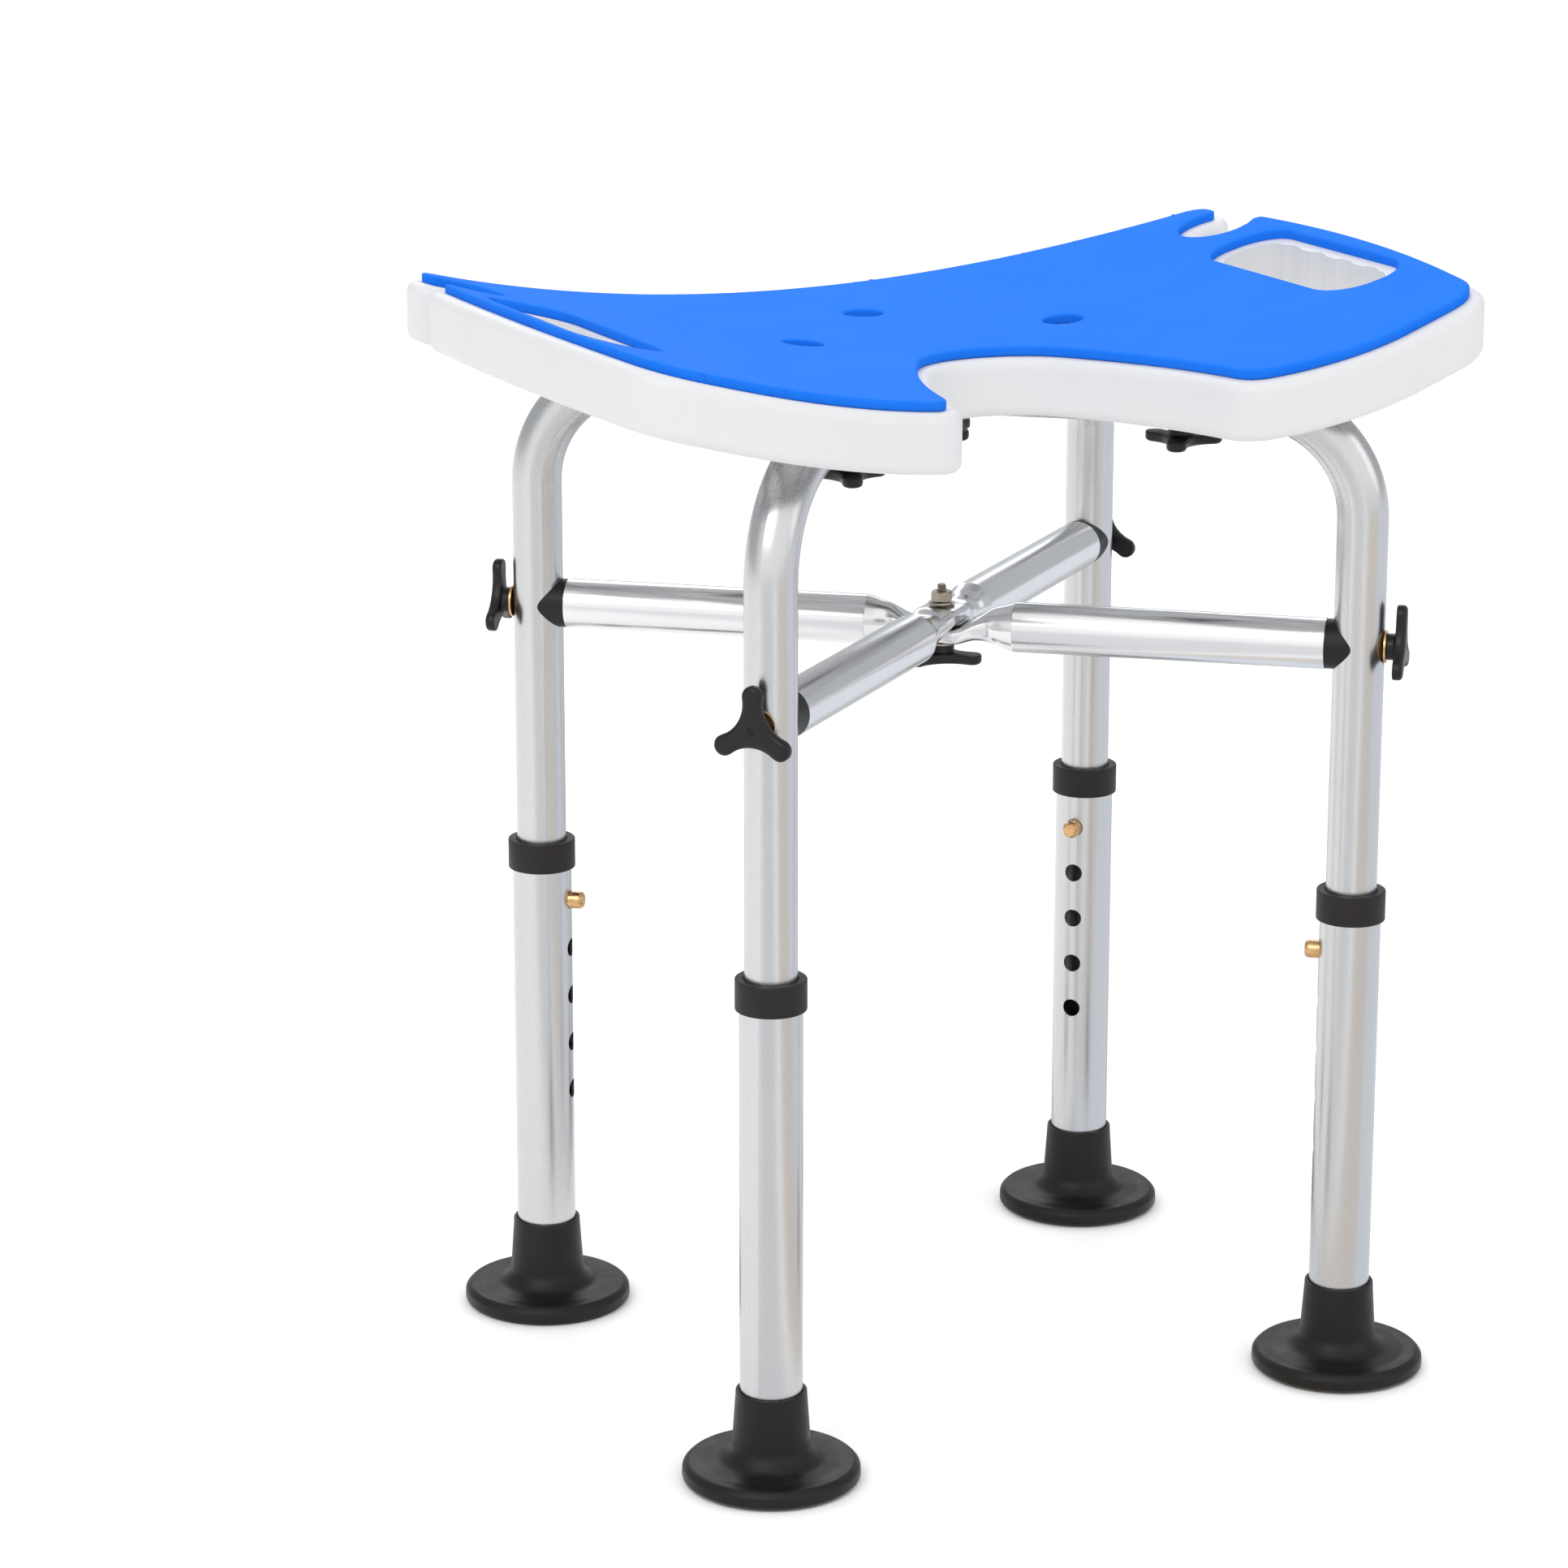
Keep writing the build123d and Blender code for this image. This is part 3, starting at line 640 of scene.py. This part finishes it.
def threaded_rod(low, high, place):
    """A screw along Z from low to high: a helical thread with chamfered, flat ends."""
    segments = 32
    # One turn of the thread: shares of its pitch, and of its depth above the root.
    flank = ((0.0, 0.0), (0.42, 1.0), (0.55, 1.0), (0.97, 0.0))
    turns = math.ceil((high - low) / THREAD_PITCH) + 3
    shape = bmesh.new()
    rows = []
    for step in range(turns * segments + 1):
        angle = 2 * math.pi * step / segments
        row = []
        for share, crest in flank:
            z = low - 1.5 * THREAD_PITCH + THREAD_PITCH * (step / segments + share)
            to_end = max(0.0, min(z - low, high - z))
            r = min(SCREW_R - THREAD_DEPTH * (1 - crest), SCREW_R - SCREW_CHAMFER + to_end)
            row.append(shape.verts.new((r * math.cos(angle), r * math.sin(angle), z)))
        rows.append(row)
    for step in range(turns * segments):
        a, b = rows[step], rows[step + 1]
        for k in range(len(flank) - 1):
            shape.faces.new((a[k], b[k], b[k + 1], a[k + 1]))
        if step + segments < turns * segments:
            c, d = rows[step + segments], rows[step + segments + 1]
            shape.faces.new((a[-1], b[-1], d[0], c[0]))
    for z, normal in ((low, (0, 0, -1)), (high, (0, 0, 1))):
        everything = shape.verts[:] + shape.edges[:] + shape.faces[:]
        cut = bmesh.ops.bisect_plane(
            shape, geom=everything, plane_co=(0, 0, z), plane_no=normal, clear_outer=True
        )
        rim = [e for e in cut["geom_cut"] if isinstance(e, bmesh.types.BMEdge)]
        bmesh.ops.contextual_create(shape, geom=rim)
    bmesh.ops.recalc_face_normals(shape, faces=shape.faces)
    shape.transform(place)
    return shape


def hex_nut(height, place):
    """A hexagonal nut along Z with its corners turned down to a cone at both ends."""
    per_side = 10
    degrees = [60 * side + 60 * k / per_side for side in range(6) for k in range(per_side)]
    angles = [math.radians(turn) for turn in degrees]
    half = NUT_ACROSS / 2
    cone_r = 0.96 * half

    def hex_r(a):
        return half / math.cos(a % (math.pi / 3) - math.pi / 6)

    def ring(radius, z):
        return [Vector((radius(a) * math.cos(a), radius(a) * math.sin(a), z(a))) for a in angles]

    def drop(a):
        return (hex_r(a) - cone_r) * math.tan(math.radians(30))

    countersink = SCREW_R + NUT_CHAMFER
    rings = [
        ring(lambda a: SCREW_R, lambda a: NUT_CHAMFER),
        ring(lambda a: countersink, lambda a: 0.0),
        ring(lambda a: cone_r, lambda a: 0.0),
        ring(hex_r, drop),
        ring(hex_r, lambda a: height - drop(a)),
        ring(lambda a: cone_r, lambda a: height),
        ring(lambda a: countersink, lambda a: height),
        ring(lambda a: SCREW_R, lambda a: height - NUT_CHAMFER),
    ]
    return closed_loft(rings, place)


def split_washer(low, place):
    """A spring washer: a flat bar wound into a ring whose two ends stand apart."""
    inner, outer = 2.6 * MM, 6.6 * MM
    bar, height, edge = 1.1 * MM, 2.4 * MM, 0.2 * MM
    gap = math.radians(9)
    steps = 72
    corners = [
        (inner, 0, edge),
        (outer, 0, edge),
        (outer, bar, edge),
        (inner, bar, edge),
    ]
    section = rounded(corners, 2)
    shape = bmesh.new()
    rows = []
    for step in range(steps + 1):
        a = gap / 2 + (2 * math.pi - gap) * step / steps
        foot = low + (height - bar) * step / steps
        row = [Vector((p.x * math.cos(a), p.x * math.sin(a), foot + p.y)) for p in section]
        rows.append([shape.verts.new(place @ point) for point in row])
    for a, b in zip(rows, rows[1:]):
        bridge(shape, a, b)
    shape.faces.new(rows[0])
    shape.faces.new(rows[-1])
    bmesh.ops.recalc_face_normals(shape, faces=shape.faces)
    return shape


def flat_washer(low, place):
    inner, outer = 2.7 * MM, 8.0 * MM
    thickness, edge = 1.0 * MM, 0.25 * MM
    corners = [
        (inner, low, edge),
        (outer, low, edge),
        (outer, low + thickness, edge),
        (inner, low + thickness, edge),
    ]
    return lathe(rounded(corners), place, 64)


def knob_and_screw(joint_name, leg=None):
    """One knob with the screw that is moulded into it."""
    name = joint_name.removeprefix("turn_knob_")
    place = knob_place(JOINTS[joint_name], leg)
    body = JOINTS[joint_name]["child"]
    piece("star_knob_" + name, knob_mesh(place), "knob_black", body, "knob_" + name)
    axis = Vector(JOINTS[joint_name]["axis"]).normalized()
    foot, head = reach("knob_screw_" + name, axis)
    start = Vector(JOINTS[joint_name]["pos_m"]).dot(axis)
    screw = threaded_rod(foot - start, head - start, place)
    piece("threaded_screw_" + name, screw, "zinc_steel", body, "knob_screw_" + name)


def centre_stack(name):
    """The nut, spring washer and flat washer of a crossing's bolt."""
    nut_low, nut_high = (corner.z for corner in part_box(name + "_bolt_nut"))
    nut_turn = Matrix.Rotation(math.radians(NUT_TURN), 4, "Z")
    nut_place = Matrix.Translation((0, 0, nut_low)) @ nut_turn
    nut = hex_nut(nut_high - nut_low, nut_place)
    piece(name + "_hex_nut", nut, "zinc_steel", "frame", name + "_bolt_nut")
    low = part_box(name + "_spring_washer")[0].z
    washer = split_washer(low, Matrix.Rotation(math.radians(SPRING_GAP_TURN), 4, "Z"))
    piece(name + "_split_washer", washer, "zinc_steel", "frame", name + "_spring_washer")
    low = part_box(name + "_flat_washer")[0].z
    washer = flat_washer(low, Matrix.Identity(4))
    piece(name + "_plain_washer", washer, "zinc_steel", "frame", name + "_flat_washer")


# ---- legs ----
# The rubber tip in section, in millimetres: radius, height and corner radius.
FOOT_SECTION = (
    (0.0, 2.2, 0),
    (22.0, 2.2, 1.0),
    (28.0, 2.2, 1.5),
    (30.0, 0.0, 0.6),
    (32.2, 0.0, 0.3),
    (32.6, 0.9, 0.2),
    (34.0, 0.9, 0.2),
    (34.4, 0.0, 0.3),
    (36.6, 0.0, 0.3),
    (37.0, 0.9, 0.2),
    (38.4, 0.9, 0.2),
    (38.8, 0.0, 0.3),
    (41.0, 0.0, 1.0),
    (42.8, 2.0, 2.0),
    (42.6, 6.6, 2.5),
    (40.0, 9.3, 3.0),
    (33.0, 9.0, 8.0),
    (24.0, 10.5, 8.0),
    (19.0, 16.0, 8.0),
    (18.4, 24.0, 10.0),
    (17.0, 45.0, 0.5),
    (15.5, 45.0, 0.4),
    (15.02, 44.0, 0.2),
    (15.02, 12.0, 0),
    (0.0, 12.0, 0),
)
LOWER_TUBE_BORE_R = 13.6 * MM
LOWER_TUBE_R = 15.02 * MM
COLLAR_R = 17.0 * MM
COLLAR_CAP = 15.0 * MM
COLLAR_MOUTH_R = 13.1 * MM
UPPER_TUBE_R = 12.56 * MM
BUTTON_R = 4.5 * MM
BUTTON_FLANGE_R = 5.6 * MM
BUTTON_FLANGE = 1.5 * MM


def leg_place(leg):
    return Matrix.Translation((*LEG_AXIS[leg], 0))


def capped_lathe(profile, place, segments=128):
    """A solid of revolution whose profile starts and ends on the axis."""
    shape = bmesh.new()
    turns = [2 * math.pi * i / segments for i in range(segments)]
    first = shape.verts.new(place @ Vector((0, 0, profile[0].y)))
    last = shape.verts.new(place @ Vector((0, 0, profile[-1].y)))
    rows = []
    for p in profile[1:-1]:
        rows.append([shape.verts.new(place @ point) for point in turned(p, turns)])
    for a, b in zip(rows, rows[1:]):
        bridge(shape, a, b)
    for i in range(segments):
        j = (i + 1) % segments
        shape.faces.new((first, rows[0][j], rows[0][i]))
        shape.faces.new((last, rows[-1][i], rows[-1][j]))
    bmesh.ops.recalc_face_normals(shape, faces=shape.faces)
    return shape


def rubber_foot(leg):
    """The rubber tip: a sleeve with a rolled lip, a dished flange and a ringed sole."""
    section = [p * MM for p in rounded(FOOT_SECTION, 6)]
    shape = capped_lathe(section, leg_place(leg))
    piece("rubber_tip_" + leg, shape, "foot_rubber", "leg_" + leg, "foot_" + leg, sharp=40)


def guide_collar(leg):
    """The bush on top of the lower tube: a cap with softened rims and a sleeve inside."""
    low, high = (corner.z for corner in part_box("leg_collar_" + leg))
    tube_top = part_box("leg_tube_" + leg)[1].z
    cap_low = high - COLLAR_CAP
    corners = [
        (UPPER_TUBE_R, low, 0),
        (LOWER_TUBE_BORE_R, low, 0.2 * MM),
        (LOWER_TUBE_BORE_R, tube_top, 0),
        (LOWER_TUBE_R, tube_top, 0),
        (LOWER_TUBE_R, cap_low, 0),
        (COLLAR_R, cap_low, 0.5 * MM),
        (COLLAR_R, high, 0.7 * MM),
        (COLLAR_MOUTH_R, high, 0.4 * MM),
        (UPPER_TUBE_R, high - 0.8 * MM, 0),
    ]
    shape = lathe(rounded(corners), leg_place(leg))
    piece("guide_collar_" + leg, shape, "collar_black", "leg_" + leg, "leg_collar_" + leg)


def brass_button(leg):
    """The snap button: a domed, chamfered pin with a flange that stays inside the tube."""
    turn = diagonal(leg)
    outward = turn.to_3x3() @ Vector((1, 0, 0))
    tip, back = reach("snap_button_" + leg, outward)
    height = middle("snap_button_" + leg).z
    place = turn @ Matrix.Translation((tip, 0, height)) @ Matrix.Rotation(math.pi / 2, 4, "Y")
    length = back - tip
    corners = [
        (0.0, 0.0, 0),
        (3.1 * MM, 0.08 * MM, 0.5 * MM),
        (4.1 * MM, 0.9 * MM, 0.5 * MM),
        (BUTTON_R, 1.9 * MM, 0.8 * MM),
        (BUTTON_R, length - BUTTON_FLANGE, 0.2 * MM),
        (BUTTON_FLANGE_R, length - BUTTON_FLANGE, 0.2 * MM),
        (BUTTON_FLANGE_R, length, 0.3 * MM),
        (0.0, length, 0),
    ]
    shape = capped_lathe(rounded(corners), place, 64)
    piece("brass_button_" + leg, shape, "brass", "button_" + leg, "snap_button_" + leg)


# ---- braces ----
BRACE_WALL = 1.3 * MM
# The brace's section in millimetres: distance out from the bolt, half width, half height, and
# the offset of its centre towards the brace's own side of the joint.
BRACE_NECK = (
    (0.0, 11.5, 4.5, 4.5),
    (9.0, 11.5, 4.5, 4.5),
    (17.5, 9.3, 5.6, 1.6),
    (25.0, 8.6, 8.6, 0.0),
    (32.0, 10.9, 10.9, 0.0),
)
# Where the sloping band between neck and tube starts and ends, out from the bolt.
BRACE_BAND = (32.0 * MM, 37.0 * MM)
BRACE_R = 12.5 * MM
# How much squarer than an ellipse a fully flattened section is.
BRACE_SQUARENESS = 2.4


def neck_value(column, x):
    """One column of BRACE_NECK at x, as a smooth curve through its rows."""
    rows = [(row[0] * MM, row[column] * MM) for row in BRACE_NECK]
    last = len(rows) - 1

    def slope(i):
        if i == 0:
            return 0.0
        before, after = rows[i - 1], rows[min(i + 1, last)]
        return (after[1] - before[1]) / (after[0] - before[0])

    i = max(k for k in range(last) if rows[k][0] <= x)
    (x0, v0), (x1, v1) = rows[i], rows[i + 1]
    width = x1 - x0
    t = (x - x0) / width
    start = (1 + 2 * t) * (1 - t) ** 2 * v0 + t * (1 - t) ** 2 * width * slope(i)
    return start + t * t * (3 - 2 * t) * v1 - t * t * (1 - t) * width * slope(i + 1)


def brace_size(x):
    """The brace's half width, half height and offset at x: neck, sloping band, round tube."""
    low, high = BRACE_BAND
    if x <= low:
        return tuple(neck_value(column, x) for column in (1, 2, 3))
    share = min(1.0, (x - low) / (high - low))
    radius = neck_value(1, low) + (BRACE_R - neck_value(1, low)) * share
    return radius, radius, 0.0


def brace_ring(x, side, inset_by, count=64):
    """The brace's section at x: a circle that turns into a flattened oval near the middle."""
    half_width, half_height, offset = brace_size(abs(x))
    power = 2 / (2 + BRACE_SQUARENESS * (1 - half_height / half_width))
    ring = []
    for i in range(count):
        a = 2 * math.pi * i / count
        c, s = math.cos(a), math.sin(a)
        y = math.copysign(abs(c) ** power, c) * (half_width - inset_by)
        z = math.copysign(abs(s) ** power, s) * (half_height - inset_by)
        ring.append(Vector((x, y, BRACE_Z + side * offset + z)))
    return ring


def brace_stations(end):
    """Where the brace's rings lie along it, close together where its section changes."""
    low, high = BRACE_BAND
    edge = 0.25 * MM
    half = [low * i / 32 for i in range(32)]
    half += [low - edge, low, low + edge, (low + high) / 2, high - edge, high, high + edge]
    half += [high + (end - high) * i / 10 for i in range(1, 10)]
    half += [end - edge, end]
    return [-x for x in reversed(half[1:])] + half


def brace_tube(name, leg, side):
    """One crossed brace: round tube at both ends, a sloping band, and a pressed neck."""
    turn = diagonal(leg)
    end = reach("brace_tube_" + name, turn.to_3x3() @ Vector((1, 0, 0)))[1]
    stations = brace_stations(end)
    outer = [brace_ring(x, side, 0) for x in stations]
    inner = [brace_ring(x, side, BRACE_WALL) for x in reversed(stations)]
    shape = closed_loft(outer + inner, turn)
    piece("cross_brace_" + name, shape, "brace_aluminium", "frame", "brace_tube_" + name, sharp=28)


# ---- stage ----
# The photograph's view: heading to the right of +Y and pitch below level, in degrees.
CAMERA_PLACE = (-1.1392, -2.0972, 0.9552)
CAMERA_HEADING = 26.643
CAMERA_PITCH = 15.564
CAMERA_LENS_MM = 114.0
CAMERA_SENSOR_MM = 36
FLOOR_SIZE = 40
FLOOR_Z = -0.2 * MM
# Shiny surfaces mirror a sky that is brightest towards BRIGHT_SIDE: back along the camera's
# heading, which is FAN_ZERO in degrees from +X, and somewhat up.
FAN_ZERO = -116.6
BRIGHT_SIDE = (
    math.cos(math.radians(FAN_ZERO)) * 0.9,
    math.sin(math.radians(FAN_ZERO)) * 0.9,
    0.35,
)
# What upright tubes mirror of the floor: fans of one tone between two bearings, in degrees from
# FAN_ZERO and to the right as the camera sees it.
FAN_RADII = (0.02, 0.32, 1.02, 3.02, 8.02)
FAN_STEPS = 6
FAN_Z = -0.1 * MM
FLOOR_FANS = {
    "fan_cool_front": (-35, 7, (0.84, 0.85, 0.87)),
    "fan_warm_right": (22, 67, (0.80, 0.745, 0.69)),
    "fan_cool_right": (67, 147, (0.83, 0.87, 0.94)),
    "fan_dark_back": (147, 185, (0.60, 0.61, 0.61)),
}
# The soft lights: place, size, power and colour. All aim at LIGHT_TARGET.
LIGHT_TARGET = (0, 0, 0.3)
LIGHTS = {
    "key": ((-2.2, -1.6, 2.6), (1.6, 1.6), 22, (1, 0.99, 0.97)),
    "fill": ((2.4, -2.0, 1.6), (1.4, 2.0), 8, (1, 1, 1)),
    "back": ((0.8, 2.6, 2.0), (2.4, 1.2), 18, (0.96, 0.98, 1)),
}


def camera():
    """The photograph's view: from the front left, a little above the seat."""
    data = bpy.data.cameras.new("camera")
    data.lens = CAMERA_LENS_MM
    data.sensor_width = CAMERA_SENSOR_MM
    obj = bpy.data.objects.new("camera", data)
    bpy.context.scene.collection.objects.link(obj)
    obj.location = CAMERA_PLACE
    heading, pitch = math.radians(CAMERA_HEADING), math.radians(CAMERA_PITCH)
    level = math.cos(pitch)
    look = Vector((level * math.sin(heading), level * math.cos(heading), -math.sin(pitch)))
    obj.rotation_euler = look.to_track_quat("-Z", "Y").to_euler()
    bpy.context.scene.camera = obj


def area_light(name, place, size, power, colour):
    """A rectangular soft light that faces LIGHT_TARGET."""
    data = bpy.data.lights.new(name, "AREA")
    data.shape = "RECTANGLE"
    data.size, data.size_y = size
    data.energy = power
    data.color = colour
    obj = bpy.data.objects.new(name, data)
    bpy.context.scene.collection.objects.link(obj)
    obj.location = place
    look = Vector(LIGHT_TARGET) - Vector(place)
    obj.rotation_euler = look.to_track_quat("-Z", "Y").to_euler()


def stage_sheet(name, shape, height, material):
    """A flat sheet for the stage from a bmesh, at a height."""
    mesh = bpy.data.meshes.new(name)
    shape.to_mesh(mesh)
    shape.free()
    mesh.materials.append(material)
    sheet = bpy.data.objects.new(name, mesh)
    sheet.location.z = height
    bpy.context.scene.collection.objects.link(sheet)
    return sheet


def floor():
    """A wide sheet of pale paper just under the feet."""
    shape = bmesh.new()
    bmesh.ops.create_grid(shape, x_segments=8, y_segments=8, size=0.5)
    bmesh.ops.scale(shape, vec=(FLOOR_SIZE, FLOOR_SIZE, 1), verts=shape.verts)
    paper = principled("floor_paper", (0.93, 0.93, 0.93), roughness=0.9)
    stage_sheet("floor", shape, FLOOR_Z, paper)


def floor_fan(name, start, end, colour):
    """A fan of one tone on the floor between two bearings, seen only in reflections."""
    bearings = [FAN_ZERO + start + (end - start) * i / FAN_STEPS for i in range(FAN_STEPS + 1)]
    turns = [math.radians(turn) for turn in bearings]
    shape = bmesh.new()
    rows = []
    for radius in FAN_RADII:
        row = [Vector((radius * math.cos(a), radius * math.sin(a), 0)) for a in turns]
        rows.append([shape.verts.new(point) for point in row])
    for inner, outer in zip(rows, rows[1:]):
        for i in range(FAN_STEPS):
            shape.faces.new((inner[i], outer[i], outer[i + 1], inner[i + 1]))
    glow = {"Emission_Color": (*colour, 1), "Emission_Strength": 1.0}
    fan = stage_sheet(name, shape, FAN_Z, principled(name, (0, 0, 0), roughness=1.0, **glow))
    fan.visible_camera = False
    fan.visible_diffuse = False
    fan.visible_shadow = False
    fan.visible_transmission = False


def two_tones(nodes, from_low, dark, from_high, light):
    """A colour ramp between two grey tones."""
    ramp = nodes.new("ShaderNodeValToRGB")
    low, high = ramp.color_ramp.elements
    low.position, low.color = from_low, (*dark, 1)
    high.position, high.color = from_high, (*light, 1)
    return ramp


def surround():
    """Three skies: plain white for the camera, and two that only light the stool.

    Matt surfaces are lit by a dome that greys towards the horizon. Shiny ones mirror a sky that
    is bright towards BRIGHT_SIDE and grey above and behind.
    """
    world = bpy.data.worlds.new("studio")
    bpy.context.scene.world = world
    world.use_nodes = True
    nodes, links = world.node_tree.nodes, world.node_tree.links
    place = nodes.new("ShaderNodeTexCoord")
    seen = nodes.new("ShaderNodeLightPath")

    plain = nodes.new("ShaderNodeBackground")
    plain.inputs["Color"].default_value = (1, 1, 1, 1)

    dome = nodes["Background"]
    dome.inputs["Strength"].default_value = 1.2
    split = nodes.new("ShaderNodeSeparateXYZ")
    ramp = two_tones(nodes, 0.05, (0.40, 0.41, 0.43), 0.55, (1.0, 1.0, 1.0))
    links.new(place.outputs["Generated"], split.inputs["Vector"])
    links.new(split.outputs["Z"], ramp.inputs["Fac"])
    links.new(ramp.outputs["Color"], dome.inputs["Color"])

    mirrored = nodes.new("ShaderNodeBackground")
    mirrored.inputs["Strength"].default_value = 1.15
    facing = nodes.new("ShaderNodeVectorMath")
    facing.operation = "DOT_PRODUCT"
    facing.inputs[1].default_value = BRIGHT_SIDE
    tones = two_tones(nodes, 0.25, (0.46, 0.475, 0.49), 0.60, (1.0, 1.0, 1.0))
    links.new(place.outputs["Generated"], facing.inputs[0])
    links.new(facing.outputs["Value"], tones.inputs["Fac"])
    links.new(tones.outputs["Color"], mirrored.inputs["Color"])

    choose = nodes.new("ShaderNodeMixShader")
    links.new(seen.outputs["Is Glossy Ray"], choose.inputs["Fac"])
    links.new(dome.outputs["Background"], choose.inputs[1])
    links.new(mirrored.outputs["Background"], choose.inputs[2])
    mix = nodes.new("ShaderNodeMixShader")
    links.new(seen.outputs["Is Camera Ray"], mix.inputs["Fac"])
    links.new(choose.outputs["Shader"], mix.inputs[1])
    links.new(plain.outputs["Background"], mix.inputs[2])
    links.new(mix.outputs["Shader"], nodes["World Output"].inputs["Surface"])


def studio():
    """A pale floor, a bright surround, large soft lights and fans of tone on the floor."""
    floor()
    surround()
    for name, (place, size, power, colour) in LIGHTS.items():
        area_light(name, place, size, power, colour)
    for name, (start, end, colour) in FLOOR_FANS.items():
        floor_fan(name, start, end, colour)
    bpy.context.scene.view_settings.view_transform = "Standard"


# ---- the object ----
def build():
    paint_frame()
    foam_pad()
    for leg in LEGS:
        rubber_foot(leg)
        guide_collar(leg)
        brass_button(leg)
        knob_and_screw("turn_knob_leg_" + leg, leg)
        knob_and_screw("turn_knob_seat_" + leg, leg)
    for name in ("brace", "crossing"):
        knob_and_screw("turn_knob_" + name)
        centre_stack(name)
    brace_tube("upper", "front_left", 1)
    brace_tube("lower", "front_right", -1)


camera()
studio()
build()
